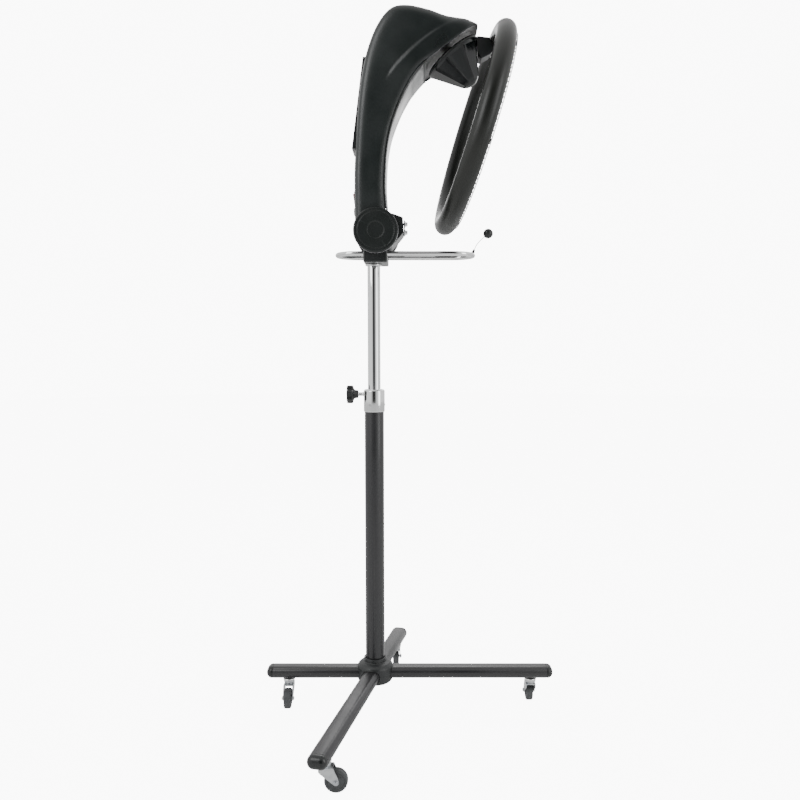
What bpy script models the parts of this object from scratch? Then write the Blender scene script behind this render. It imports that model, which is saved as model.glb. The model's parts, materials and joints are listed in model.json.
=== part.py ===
"""Orbiting-ring hair dryer and processor on a wheeled pedestal.

A four-leg base on swivel casters carries a steel column.  A chrome mast telescopes and turns in
the column and carries a rail block, a handle rail with a nape gauge, and a tilting arm.  A motor in
the arm's round end turns a conical rotor, and the rotor carries a heating ring on its rim.

All lengths are metres, +Z is up, +X is the side that the arm leans over.
"""
import math

import bmesh
import bpy
from mathutils import Matrix, Vector

# ---------------------------------------------------------------- driving dimensions
GAP = 0.0003                 # clearance between pieces that touch

LEG_LONG = 0.4525            # column axis to the end of a long leg's cap
LEG_SHORT = 0.2760
LEG_HALF_WIDTH = 0.022
LEG_HALF_HEIGHT = 0.015
LEG_WALL = 0.0016
LEG_Z = 0.0866               # height of the legs' centre line
LEG_START = 0.0287           # where a leg begins, inside the hub
CAP_LENGTH = 0.016
CAP_PLUG = 0.014
CROSS_SKEW = math.radians(12.6)   # the two leg bars cross this far from square
CASTER_INSET = 0.0555

WHEEL_R = 0.025
WHEEL_HALF_WIDTH = 0.009
CASTER_TRAIL = 0.024
AXLE_R = 0.003

HUB_R = 0.046
HUB_BOTTOM = 0.0640
HUB_TOP = 0.1255

COLUMN_R = 0.02415
COLUMN_BORE = 0.0222
COLUMN_TOP = 0.7900
COLLAR_BOTTOM = 0.7530
COLLAR_TOP = 0.8086
CLAMP_Z = 0.7965
KNOB_R = 0.0232

MAST_R = 0.0158
MAST_BORE = 0.0143
MAST_FOOT = 0.4600
BLOCK_BOTTOM = 1.1160
BLOCK_TOP = 1.1530
BLOCK_X = (-0.0226, 0.0351)
BLOCK_NECK_HALF_DEPTH = 0.0500
BLOCK_HALF_DEPTH = 0.0585
BLOCK_SHOULDER = 1.1470      # the wide part stays below the arm's cheeks

RAIL_Z = 1.1370
RAIL_R = 0.0060
RAIL_HALF_DEPTH = 0.0490
RAIL_X = (-0.0880, 0.2430)

PIVOT = Vector((0.0080, 0.0, 1.1895))
PIVOT_SHAFT_R = 0.0080
PIVOT_DISC_R = 0.0534
CHEEK_R = 0.0520             # towards the arm's back
CHEEK_FOOT_R = 0.0420        # over the rail
CHEEK_INNER = 0.0520
ARM_HALF_WIDTH = 0.0600
SHELL_WALL = 0.0030

ROTOR_BASE = Vector((0.1903, 0.0, 1.6128))
ROTOR_TILT = math.radians(-37.3)  # the rotor's own +Z leans back into the arm
ROTOR_PHASE = math.radians(7.4)   # where the ring has come to rest in its orbit
CONE_R = 0.0705

RING_R = 0.2314
RING_SECTION_R = 0.0240
RING_WALL = 0.0025
RING_OFFSET = Vector((-0.0683, 0.0, -0.1738))
RING_TURN = math.radians(143.3)   # turns the ring's axis from the rotor's to its own
RING_LIP = math.radians(34)       # half the angle of the channel's mouth
RING_FACING = math.radians(-28)   # the mouth leans from the ring's +Z towards its middle
GUARD_REACH = 0.0262

GEAR_MODULE = 0.002
GEAR_TEETH = 34
PINION_TEETH = 10

PANEL_BOTTOM = Vector((-0.0495, 0.0, 1.3850))
PANEL_TOP = Vector((-0.0225, 0.0, 1.5970))
PANEL_HALF_WIDTH = 0.040
SWITCH_Z = 1.2765
GLAND_Z = 1.2430
GLAND_R = 0.0070
GLAND_MOUTH_R = 0.0036

# The object stands with the middle of its box on the origin.
REAR_REACH = LEG_SHORT * math.cos(CROSS_SKEW) + 0.0030
COLUMN_AXIS = Vector((
    (LEG_SHORT - LEG_LONG) / 2,
    (LEG_LONG * math.cos(CROSS_SKEW) + 0.0010 - REAR_REACH) / 2,
    0.0,
))

ROUND = 24                   # sides of a middle-sized round piece
FINE = 32
SMALL = 12
RING_STEPS = 48

# ---------------------------------------------------------------- scene and materials
for old in list(bpy.data.objects):
    bpy.data.objects.remove(old, do_unlink=True)

model = bpy.data.collections.new("orbiting_ring_hair_dryer")
cutters = bpy.data.collections.new("cutters")
for collection in (model, cutters):
    bpy.context.scene.collection.children.link(collection)


def make_material(name, colour, roughness, metallic=0.0):
    material = bpy.data.materials.new(name)
    material.use_nodes = True
    shader = material.node_tree.nodes["Principled BSDF"]
    shader.inputs["Base Color"].default_value = (*colour, 1.0)
    shader.inputs["Roughness"].default_value = roughness
    shader.inputs["Metallic"].default_value = metallic
    material.diffuse_color = (*colour, 1.0)
    return material


HOUSING = make_material("housing_plastic", (0.032, 0.037, 0.036), 0.38)
RING_PLASTIC = make_material("ring_plastic", (0.050, 0.050, 0.046), 0.42)
BLACK = make_material("black_plastic", (0.012, 0.012, 0.013), 0.35)
HUB_GREY = make_material("hub_plastic", (0.060, 0.063, 0.066), 0.62)
PAINT = make_material("leg_paint", (0.075, 0.078, 0.082), 0.45, 0.2)
CHROME = make_material("chrome", (0.82, 0.83, 0.84), 0.10, 1.0)
ZINC = make_material("zinc_plate", (0.55, 0.56, 0.57), 0.38, 1.0)
STEEL = make_material("steel", (0.45, 0.45, 0.46), 0.32, 1.0)
NYLON = make_material("nylon", (0.75, 0.74, 0.70), 0.55)
WHEEL_GREY = make_material("wheel_rubber", (0.055, 0.060, 0.062), 0.60)
RED = make_material("red_plastic", (0.60, 0.030, 0.030), 0.35)
WINDOW = make_material("display_glass", (0.020, 0.030, 0.035), 0.08)
REFLECTOR = make_material("reflector", (0.88, 0.88, 0.87), 0.16, 1.0)
QUARTZ = make_material("lamp_glass", (0.85, 0.80, 0.74), 0.10)
BOARD = make_material("circuit_board", (0.020, 0.140, 0.060), 0.50)


# ---------------------------------------------------------------- shape helpers
def place(obj, material, parent=None, location=(0, 0, 0), rotation=(0, 0, 0), collection=model):
    collection.objects.link(obj)
    obj.location = location
    obj.rotation_euler = rotation
    obj.parent = parent
    if material is not None:
        obj.data.materials.append(material)
    return obj


def empty(name, parent=None, location=(0, 0, 0), rotation=(0, 0, 0)):
    axis = bpy.data.objects.new(name, None)
    axis.empty_display_size = 0.05
    return place(axis, None, parent, location, rotation)


def finish_mesh(name, bm, smooth=True):
    bmesh.ops.recalc_face_normals(bm, faces=bm.faces)
    mesh = bpy.data.meshes.new(name)
    bm.to_mesh(mesh)
    bm.free()
    if smooth:
        mesh.shade_smooth()
        mesh.set_sharp_from_angle(angle=math.radians(35))
    return mesh


def hide_cutter(obj):
    obj.hide_render = True
    obj.display_type = "WIRE"
    return obj


def boolean(obj, other, operation="DIFFERENCE"):
    modifier = obj.modifiers.new(operation.lower(), "BOOLEAN")
    modifier.operation = operation
    modifier.object = other
    return obj


def bevel(obj, width, segments=2, angle=40):
    modifier = obj.modifiers.new("bevel", "BEVEL")
    modifier.width = width
    modifier.segments = segments
    modifier.limit_method = "ANGLE"
    modifier.angle_limit = math.radians(angle)
    return obj


def box_mesh(name, size, centre=(0, 0, 0)):
    bm = bmesh.new()
    bmesh.ops.create_cube(bm, size=1.0)
    bmesh.ops.scale(bm, vec=size, verts=bm.verts)
    bmesh.ops.translate(bm, vec=centre, verts=bm.verts)
    return finish_mesh(name, bm, smooth=False)


def rod_mesh(name, radius, start, end, sides=ROUND, end_radius=None):
    """A cylinder, or a cone frustum, from one point to another."""
    start, end = Vector(start), Vector(end)
    bm = bmesh.new()
    bmesh.ops.create_cone(
        bm, cap_ends=True, segments=sides, radius1=radius,
        radius2=radius if end_radius is None else end_radius, depth=(end - start).length,
    )
    turn = (end - start).to_track_quat("Z", "Y").to_matrix().to_4x4()
    bmesh.ops.transform(bm, matrix=Matrix.Translation((start + end) / 2) @ turn, verts=bm.verts)
    return finish_mesh(name, bm)


def turned(name, profile, closed=False, sides=ROUND):
    """A Screw of an (r, z) profile about Z.  The profile runs down its outer side."""
    bm = bmesh.new()
    verts = [bm.verts.new((r, 0.0, z)) for r, z in profile]
    for first, second in zip(verts, verts[1:]):
        bm.edges.new((first, second))
    if closed:
        bm.edges.new((verts[-1], verts[0]))
    mesh = bpy.data.meshes.new(name)
    bm.to_mesh(mesh)
    bm.free()
    obj = bpy.data.objects.new(name, mesh)
    screw = obj.modifiers.new("turn", "SCREW")
    screw.axis = "Z"
    screw.steps = sides
    screw.render_steps = sides
    screw.use_merge_vertices = True
    screw.merge_threshold = 0.00005
    screw.use_smooth_shade = True
    return obj


def ring_profile(outer, inner, low, high):
    return [(outer, high), (outer, low), (inner, low), (inner, high)]


def outline_mesh(name, loops, half_thickness):
    """A flat outline in XY, with any further loops as holes, thickened along Z."""
    curve = bpy.data.curves.new(name, "CURVE")
    curve.dimensions = "2D"
    curve.fill_mode = "BOTH"
    curve.extrude = half_thickness
    for loop in loops:
        spline = curve.splines.new("POLY")
        spline.points.add(len(loop) - 1)
        for point, (x, y) in zip(spline.points, loop):
            point.co = (x, y, 0.0, 1.0)
        spline.use_cyclic_u = True
    return curve_to_mesh(name, curve)


def curve_to_mesh(name, curve):
    guide = bpy.data.objects.new(name + "_curve", curve)
    bpy.context.scene.collection.objects.link(guide)
    evaluated = guide.evaluated_get(bpy.context.evaluated_depsgraph_get())
    mesh = bpy.data.meshes.new_from_object(evaluated)
    bpy.data.objects.remove(guide, do_unlink=True)
    bpy.data.curves.remove(curve)
    mesh.name = name
    bm = bmesh.new()
    bm.from_mesh(mesh)
    bmesh.ops.remove_doubles(bm, verts=bm.verts, dist=0.00001)
    bmesh.ops.recalc_face_normals(bm, faces=bm.faces)
    bm.to_mesh(mesh)
    bm.free()
    return mesh


def wire(name, points, radius, cyclic=False, resolution=2):
    """A bent round bar along a list of points."""
    curve = bpy.data.curves.new(name, "CURVE")
    curve.dimensions = "3D"
    curve.bevel_depth = radius
    curve.bevel_resolution = resolution
    curve.use_fill_caps = True
    spline = curve.splines.new("POLY")
    spline.points.add(len(points) - 1)
    for point, co in zip(spline.points, points):
        point.co = (*co, 1.0)
    spline.use_cyclic_u = cyclic
    return bpy.data.objects.new(name, curve)


def arc(centre, radius, start, end, count):
    """Points on an arc in a plane, in degrees."""
    points = []
    for k in range(count + 1):
        angle = math.radians(start + (end - start) * k / count)
        points.append((centre[0] + radius * math.cos(angle), centre[1] + radius * math.sin(angle)))
    return points


def smooth_path(points, steps):
    """Catmull-Rom points through a few hand-placed ones."""
    ends = [2 * points[0] - points[1], *points, 2 * points[-1] - points[-2]]
    path = []
    for p0, p1, p2, p3 in zip(ends, ends[1:], ends[2:], ends[3:]):
        for k in range(steps):
            t = k / steps
            path.append(0.5 * (
                2 * p1 + (p2 - p0) * t + (2 * p0 - 5 * p1 + 4 * p2 - p3) * t ** 2
                + (3 * p1 - p0 - 3 * p2 + p3) * t ** 3
            ))
    return path + [points[-1]]


def add(name, mesh, material, parent=None, location=(0, 0, 0), rotation=(0, 0, 0)):
    return place(bpy.data.objects.new(name, mesh), material, parent, location, rotation)


def add_cutter(name, mesh, parent=None, location=(0, 0, 0), rotation=(0, 0, 0)):
    obj = bpy.data.objects.new(name, mesh)
    return hide_cutter(place(obj, None, parent, location, rotation, cutters))


def loft_mesh(name, sections, capped=True):
    """Skins a row of closed sections that all have the same number of points."""
    bm = bmesh.new()
    rows = [[bm.verts.new(point) for point in section] for section in sections]
    count = len(rows[0])
    for low, high in zip(rows, rows[1:]):
        for k in range(count):
            after = (k + 1) % count
            bm.faces.new((low[k], low[after], high[after], high[k]))
    if capped:
        bm.faces.new(rows[0])
        bm.faces.new(rows[-1])
    return finish_mesh(name, bm)


def strip_mesh(name, rows):
    """An open surface through rows of points, to be thickened."""
    bm = bmesh.new()
    grid = [[bm.verts.new(point) for point in row] for row in rows]
    for low, high in zip(grid, grid[1:]):
        for k in range(len(low) - 1):
            bm.faces.new((low[k], high[k], high[k + 1], low[k + 1]))
    mesh = bpy.data.meshes.new(name)
    bm.to_mesh(mesh)
    bm.free()
    mesh.shade_smooth()
    return mesh


# ---------------------------------------------------------------- joint axes
stand = empty("stand_axis", None, COLUMN_AXIS)
arm_axis = empty("tilt_axis", stand, PIVOT)
rotor_place = empty("rotor_place", stand, ROTOR_BASE, (0, ROTOR_TILT, 0))
rotor_axis = empty("rotor_axis", rotor_place, (0, 0, 0), (0, 0, ROTOR_PHASE))
ring_axis = empty("ring_axis", rotor_axis, RING_OFFSET, (0, RING_TURN, 0))

LEGS = {
    "right": (0.0, LEG_LONG, math.radians(90)),
    "left": (math.pi, LEG_SHORT, math.radians(-90)),
    "front": (-math.pi / 2 - CROSS_SKEW, LEG_LONG, 0.0),
    "rear": (math.pi / 2 - CROSS_SKEW, LEG_SHORT, math.radians(90)),
}


# ---------------------------------------------------------------- base
def flat_oval(half_width, half_height, steps=6):
    """A tube section: flat top and bottom, half-round sides."""
    flat = half_width - half_height
    right = arc((flat, 0.0), half_height, -90, 90, steps)
    left = arc((-flat, 0.0), half_height, 90, 270, steps)
    return right + left


def build_leg(side, angle, reach):
    length = reach - CAP_LENGTH - LEG_START
    outer = flat_oval(LEG_HALF_WIDTH, LEG_HALF_HEIGHT)
    inner = flat_oval(LEG_HALF_WIDTH - LEG_WALL, LEG_HALF_HEIGHT - LEG_WALL)
    mesh = outline_mesh("leg_" + side, [outer, inner], length / 2)
    # The outline's Z runs along the leg, its X across and its Y up.
    mesh.transform(Matrix(((0, 0, 1, 0), (1, 0, 0, 0), (0, 1, 0, 0), (0, 0, 0, 1))))
    mesh.transform(Matrix.Translation((LEG_START + length / 2, 0, 0)))
    leg = add("leg_" + side, mesh, PAINT, stand, (0, 0, LEG_Z), (0, 0, angle))
    hole = rod_mesh("stem_hole", 0.0044, (0, 0, -0.03), (0, 0, 0), SMALL)
    boolean(leg, add_cutter("stem_hole_" + side, hole, leg, (reach - CASTER_INSET, 0, 0)))


def build_leg_cap(side, angle, reach):
    """A plug inside the tube, a collar flush with it, and a domed end."""
    start = reach - CAP_LENGTH
    inside = LEG_WALL + GAP
    stations = [(-CAP_PLUG, inside), (GAP, inside), (GAP, 0.0), (0.006, 0.0), (0.011, 0.0018),
                (0.0145, 0.0055), (CAP_LENGTH, 0.0100)]
    sections = []
    for along, shrink in stations:
        section = flat_oval(LEG_HALF_WIDTH - shrink, LEG_HALF_HEIGHT - shrink)
        sections.append([(start + along, across, up) for across, up in section])
    mesh = loft_mesh("leg_cap_" + side, sections)
    add("leg_cap_" + side, mesh, BLACK, stand, (0, 0, LEG_Z), (0, 0, angle))


def build_hub():
    """Two moulded halves that clamp the legs and the foot of the column."""
    bore = COLUMN_R + GAP
    upper = turned("hub_upper", [
        (0.0275, HUB_TOP), (0.0285, 0.1200), (0.0330, 0.1160), (0.0400, 0.1120), (HUB_R, 0.1050),
        (HUB_R, LEG_Z + GAP / 2), (bore, LEG_Z + GAP / 2), (bore, HUB_TOP),
    ], closed=True, sides=FINE)
    lower = turned("hub_lower", [
        (0.0, 0.0720), (bore, 0.0720), (bore, LEG_Z - GAP / 2), (HUB_R - 0.001, LEG_Z - GAP / 2),
        (HUB_R - 0.001, 0.0705), (0.0405, HUB_BOTTOM), (0.0, HUB_BOTTOM),
    ], sides=FINE)
    for half in (upper, lower):
        place(half, HUB_GREY, stand)
    section = flat_oval(LEG_HALF_WIDTH + GAP, LEG_HALF_HEIGHT + GAP)
    for name, angle in (("bar_across", 0.0), ("bar_along", math.pi / 2 - CROSS_SKEW)):
        bar = loft_mesh(name, [[(x, y, z) for y, z in section] for x in (-0.08, 0.08)])
        cutter = add_cutter(name, bar, stand, (0, 0, LEG_Z), (0, 0, angle))
        boolean(upper, cutter)
        boolean(lower, cutter)


def build_column():
    foot = 0.0720 + GAP
    place(turned("column_tube", ring_profile(COLUMN_R, COLUMN_BORE, foot, COLUMN_TOP), True), PAINT, stand)
    collar = place(turned("column_collar", [
        (0.0262, COLLAR_TOP - 0.003), (0.0262, COLLAR_BOTTOM), (COLUMN_R + GAP, COLLAR_BOTTOM),
        (COLUMN_R + GAP, COLUMN_TOP + GAP), (MAST_R + 0.0018, COLLAR_TOP - 0.004),
        (MAST_R + 0.0018, COLLAR_TOP), (0.0235, COLLAR_TOP),
    ], True), CHROME, stand)
    place(turned("guide_bush", ring_profile(
        COLUMN_BORE - GAP, MAST_R + GAP, 0.7400, COLUMN_TOP), True), NYLON, stand)
    stud_hole = rod_mesh("stud_hole", 0.0056, (-0.05, 0, 0), (0, 0, 0), SMALL)
    hole = add_cutter("stud_hole", stud_hole, stand, (0, 0, CLAMP_Z))
    boolean(collar, hole)


def build_clamp():
    """Lobed knob and threaded stud that pinch the mast."""
    lobes = 7
    outline = []
    for k in range(lobes * 4):
        angle = 2 * math.pi * k / (lobes * 4)
        outline.append((
            (KNOB_R - 0.0022 + 0.0022 * math.cos(lobes * angle)) * math.cos(angle),
            (KNOB_R - 0.0022 + 0.0022 * math.cos(lobes * angle)) * math.sin(angle),
        ))
    head = outline_mesh("clamp_knob", [outline], 0.0080)
    clamp = empty("clamp_axis", stand, (-0.0600, 0, CLAMP_Z), (0, math.radians(90), 0))
    knob = bevel(add("clamp_knob", head, BLACK, clamp), 0.0020)
    neck = rod_mesh("knob_neck", 0.0115, (0, 0, 0.0060), (0, 0, 0.0205), ROUND, 0.0090)
    boolean(knob, add_cutter("knob_neck", neck, clamp), "UNION")
    bore = rod_mesh("knob_bore", 0.0050 + GAP, (0, 0, 0.0), (0, 0, 0.03), SMALL)
    boolean(knob, add_cutter("knob_bore", bore, clamp))
    tip = 0.0600 - MAST_R - GAP
    add("clamp_stud", rod_mesh("clamp_stud", 0.0050, (0, 0, GAP), (0, 0, tip), SMALL), CHROME, clamp)


def build_casters():
    """One fork and one wheel mesh, shared by the four casters."""
    axle_z = WHEEL_R
    top = LEG_Z - LEG_HALF_HEIGHT - GAP
    cup = turned("fork_cup", [
        (0.0, 0.0820), (0.0040, 0.0820), (0.0040, top), (0.0105, top), (0.0105, 0.0672), (0.0135, 0.0660),
        (0.0140, 0.0600), (0.0115, 0.0570), (0.0115, 0.0540), (0.0, 0.0540),
    ], sides=16)
    place(cup, ZINC)
    bridge = box_mesh("fork_bridge", (0.031, 0.0250, 0.0024), (0.0035, 0, 0.0548))
    boolean(cup, add_cutter("fork_bridge", bridge), "UNION")
    plate = [(-0.0120, 0.0556), (0.0190, 0.0556), (0.0290, 0.0330)]
    plate += arc((CASTER_TRAIL, axle_z), 0.0065, 20, -150, 6)
    plate += [(-0.0090, 0.0440), (-0.0120, 0.0480)]
    for sign in (-1, 1):
        cheek = outline_mesh("fork_cheek", [plate], 0.0010)
        cheek.transform(Matrix.Rotation(math.radians(90), 4, "X"))
        cheek.transform(Matrix.Translation((0, sign * 0.0115, 0)))
        boolean(cup, add_cutter("fork_cheek" + ("_near" if sign < 0 else "_far"), cheek), "UNION")
    pin = rod_mesh("fork_pin", AXLE_R, (CASTER_TRAIL, -0.0145, axle_z), (CASTER_TRAIL, 0.0145, axle_z), SMALL)
    boolean(cup, add_cutter("fork_pin", pin), "UNION")
    fork_mesh = bpy.data.meshes.new_from_object(cup.evaluated_get(bpy.context.evaluated_depsgraph_get()))
    bpy.data.objects.remove(cup, do_unlink=True)

    half = WHEEL_HALF_WIDTH
    wheel = turned("wheel", [
        (AXLE_R + GAP, half), (0.0090, half), (0.0110, half - 0.002), (0.0180, half - 0.002),
        (0.0200, half - 0.0005), (WHEEL_R - 0.0025, half - 0.0005), (WHEEL_R, half - 0.0035),
        (WHEEL_R, -half + 0.0035), (WHEEL_R - 0.0025, -half + 0.0005), (0.0200, -half + 0.0005),
        (0.0180, -half + 0.002), (0.0110, -half + 0.002), (0.0090, -half), (AXLE_R + GAP, -half),
    ], closed=True, sides=ROUND)
    place(wheel, WHEEL_GREY)
    wheel_mesh = bpy.data.meshes.new_from_object(wheel.evaluated_get(bpy.context.evaluated_depsgraph_get()))
    bpy.data.objects.remove(wheel, do_unlink=True)

    for side, (angle, reach, swing) in LEGS.items():
        at = Matrix.Rotation(angle, 3, "Z") @ Vector((reach - CASTER_INSET, 0, 0))
        swivel = empty("swivel_" + side, stand, at, (0, 0, swing))
        place(bpy.data.objects.new("caster_fork_" + side, fork_mesh), None, swivel)
        wheel = bpy.data.objects.new("caster_wheel_" + side, wheel_mesh)
        place(wheel, None, swivel, (CASTER_TRAIL, 0, WHEEL_R), (math.radians(90), 0, 0))


# ---------------------------------------------------------------- mast and rail
def build_mast():
    top = BLOCK_BOTTOM + 0.0180
    place(turned("mast_tube", ring_profile(MAST_R, MAST_BORE, MAST_FOOT, top), True), CHROME, stand)
    place(turned("slide_bush", [
        (0.0, MAST_FOOT + 0.030), (MAST_BORE - GAP, MAST_FOOT + 0.030), (MAST_BORE - GAP, MAST_FOOT - GAP),
        (COLUMN_BORE - GAP, MAST_FOOT - GAP), (COLUMN_BORE - GAP, MAST_FOOT - 0.020),
        (0.0, MAST_FOOT - 0.020),
    ]), NYLON, stand)
    washer = ring_profile(0.0205, MAST_R + GAP, 1.1122, BLOCK_BOTTOM - GAP)
    place(turned("mast_washer", washer, True), BLACK, stand)


def build_rail_block():
    low, high = BLOCK_X
    size = (high - low, 2 * BLOCK_HALF_DEPTH, BLOCK_SHOULDER - BLOCK_BOTTOM)
    centre = ((high + low) / 2, 0, (BLOCK_SHOULDER + BLOCK_BOTTOM) / 2)
    block = add("rail_block", box_mesh("rail_block", size, centre), BLACK, stand)
    bevel(block, 0.0030)
    neck_size = (high - low - 0.0060, 2 * BLOCK_NECK_HALF_DEPTH, 0.0120)
    neck = box_mesh("block_neck", neck_size, ((high + low) / 2, 0, BLOCK_TOP - 0.0060))
    boolean(block, add_cutter("block_neck", neck, stand), "UNION")
    hole = rod_mesh("mast_hole", MAST_R + GAP, (0, 0, BLOCK_BOTTOM - 0.01), (0, 0, BLOCK_BOTTOM + 0.0183))
    boolean(block, add_cutter("mast_hole", hole, stand))
    for sign in (-1, 1):
        passage = rod_mesh("rail_hole", RAIL_R + 2 * GAP, (-0.06, 0, 0), (0.06, 0, 0), SMALL + 4)
        y = sign * RAIL_HALF_DEPTH
        side = "_near" if sign < 0 else "_far"
        boolean(block, add_cutter("rail_hole" + side, passage, stand, (0, y, RAIL_Z)))


def build_rail():
    """A closed long oval with half-round ends."""
    low, high = RAIL_X
    half = RAIL_HALF_DEPTH
    right = arc((high - half, 0.0), half, -90, 90, 10)
    left = arc((low + half, 0.0), half, 90, 270, 10)
    rail = wire("handle_rail", [(x, y, RAIL_Z) for x, y in right + left], RAIL_R, cyclic=True)
    place(rail, CHROME, stand)


def build_gauge():
    """A ball on a springy bent wire, held in a ferrule on the rail's end."""
    foot = Vector((RAIL_X[1], 0, RAIL_Z + RAIL_R + GAP))
    ferrule_top = foot + Vector((0.0040, 0, 0.0090))
    ferrule = rod_mesh("gauge_socket", 0.0038, foot, ferrule_top, SMALL, 0.0026)
    add("gauge_socket", ferrule, BLACK, stand)
    ball = Vector((0.2806, 0, 1.1907))
    bends = [ferrule_top + Vector((0.0002, 0, GAP + 0.0004))]
    bends += [Vector((0.2530, 0, 1.1640)), Vector((0.2628, 0, 1.1752))]
    reach = ball - bends[-1]
    bends.append(ball - reach.normalized() * (0.0120 + 2 * GAP))
    place(wire("gauge_wire", smooth_path(bends, 4), 0.0009), STEEL, stand)
    sphere = bmesh.new()
    bmesh.ops.create_uvsphere(sphere, u_segments=16, v_segments=10, radius=0.0120)
    add("gauge_ball", finish_mesh("gauge_ball", sphere), BLACK, stand, ball)


def build_knuckle():
    """The fixed block that the arm's fork straddles, with its two clamp screws."""
    outline = [(0.0449, BLOCK_TOP + GAP), (0.0735, 1.1870), (0.0722, 1.2235),
               (0.0500, 1.2315), (0.0300, 1.2355)]
    outline += [(x, z) for x, z in arc((PIVOT.x, PIVOT.z), 0.0440, 90, 215, 8)]
    outline += [(-0.0200, BLOCK_TOP + GAP)]
    mesh = outline_mesh("tilt_knuckle", [outline], BLOCK_NECK_HALF_DEPTH - 0.0030)
    mesh.transform(Matrix.Rotation(math.radians(90), 4, "X"))
    knuckle = bevel(add("tilt_knuckle", mesh, BLACK, stand), 0.0015, 1)
    bore = rod_mesh("knuckle_bore", PIVOT_SHAFT_R + GAP, (0, -0.06, 0), (0, 0.06, 0))
    boolean(knuckle, add_cutter("knuckle_bore", bore, stand, PIVOT))
    for name, z in (("tilt_screw_upper", 1.2130), ("tilt_screw_lower", 1.1930)):
        hole = rod_mesh(name + "_hole", 0.0035, (0.055, 0, z), (0.09, 0, z), SMALL)
        boolean(knuckle, add_cutter(name + "_hole", hole, stand))
        screw = turned(name, [
            (0.0, 0.0110), (0.0045, 0.0105), (0.0060, 0.0080), (0.0060, 0.0020), (0.0031, 0.0020),
            (0.0031, -0.0140), (0.0, -0.0140),
        ], sides=SMALL)
        place(screw, CHROME, stand, (0.0725, 0, z), (0, math.radians(90), 0))


# ---------------------------------------------------------------- arm
# Stations up the arm: back edge (x, z), front edge (x, z), half width, squareness at the back, at the front.
ARM = [
    ((-0.0435, 1.2120), (0.0330, 1.2120), 0.0600, 5.0, 5.0),
    ((-0.0445, 1.2450), (0.0325, 1.2450), 0.0600, 5.0, 5.0),
    ((-0.0445, 1.2900), (0.0297, 1.2900), 0.0605, 5.0, 5.0),
    ((-0.0440, 1.3350), (0.0303, 1.3310), 0.0612, 5.0, 5.5),
    ((-0.0415, 1.3850), (0.0333, 1.3750), 0.0630, 5.0, 6.5),
    ((-0.0385, 1.4350), (0.0410, 1.4200), 0.0660, 5.2, 8.0),
    ((-0.0340, 1.4870), (0.0530, 1.4580), 0.0700, 5.5, 9.5),
    ((-0.0265, 1.5450), (0.0690, 1.4960), 0.0745, 5.8, 11.0),
    ((-0.0120, 1.6070), (0.0870, 1.5290), 0.0790, 6.2, 12.0),
    ((0.0120, 1.6630), (0.0970, 1.5430), 0.0820, 6.6, 12.0),
    ((0.0430, 1.6985), (0.1045, 1.5530), 0.0840, 6.8, 12.0),
    ((0.0800, 1.7060), (0.1105, 1.5605), 0.0850, 6.6, 12.0),
    ((0.1300, 1.6975), (0.1150, 1.5662), 0.0855, 5.8, 12.0),
    ((0.1750, 1.6845), (0.1180, 1.5705), 0.0855, 4.8, 12.0),
    ((0.2200, 1.6775), (0.1205, 1.5735), 0.0850, 4.6, 11.0),
    ((0.2490, 1.6675), (0.1225, 1.5760), 0.0840, 4.2, 10.0),
]
SEAM = math.radians(142)     # where a section's two shells meet, from its back


def arm_point(station, angle):
    """A point of a rounded-square section; angle 0 is the back edge, 180 degrees the front."""
    back, front, half_width, back_square, front_square = station
    back, front = Vector((back[0], 0, back[1])), Vector((front[0], 0, front[1]))
    c, s = math.cos(angle), math.sin(angle)
    square = back_square if c >= 0 else front_square
    along = math.copysign(abs(c) ** (2 / square), c)
    across = math.copysign(abs(s) ** (2 / square), s)
    return (back + front) / 2 + (back - front) / 2 * along + Vector((0, half_width * across, 0))


def arm_back(z):
    """Where the arm's back edge is at a height, between stations."""
    for (low, *_), (high, *_) in zip(ARM, ARM[1:]):
        if low[1] <= z <= high[1]:
            return low[0] + (high[0] - low[0]) * (z - low[1]) / (high[1] - low[1])
    raise ValueError("height outside the arm's back")


def thicken(obj, thickness):
    solidify = obj.modifiers.new("wall", "SOLIDIFY")
    solidify.thickness = thickness
    solidify.offset = -1.0
    solidify.use_even_offset = True
    return obj


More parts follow.
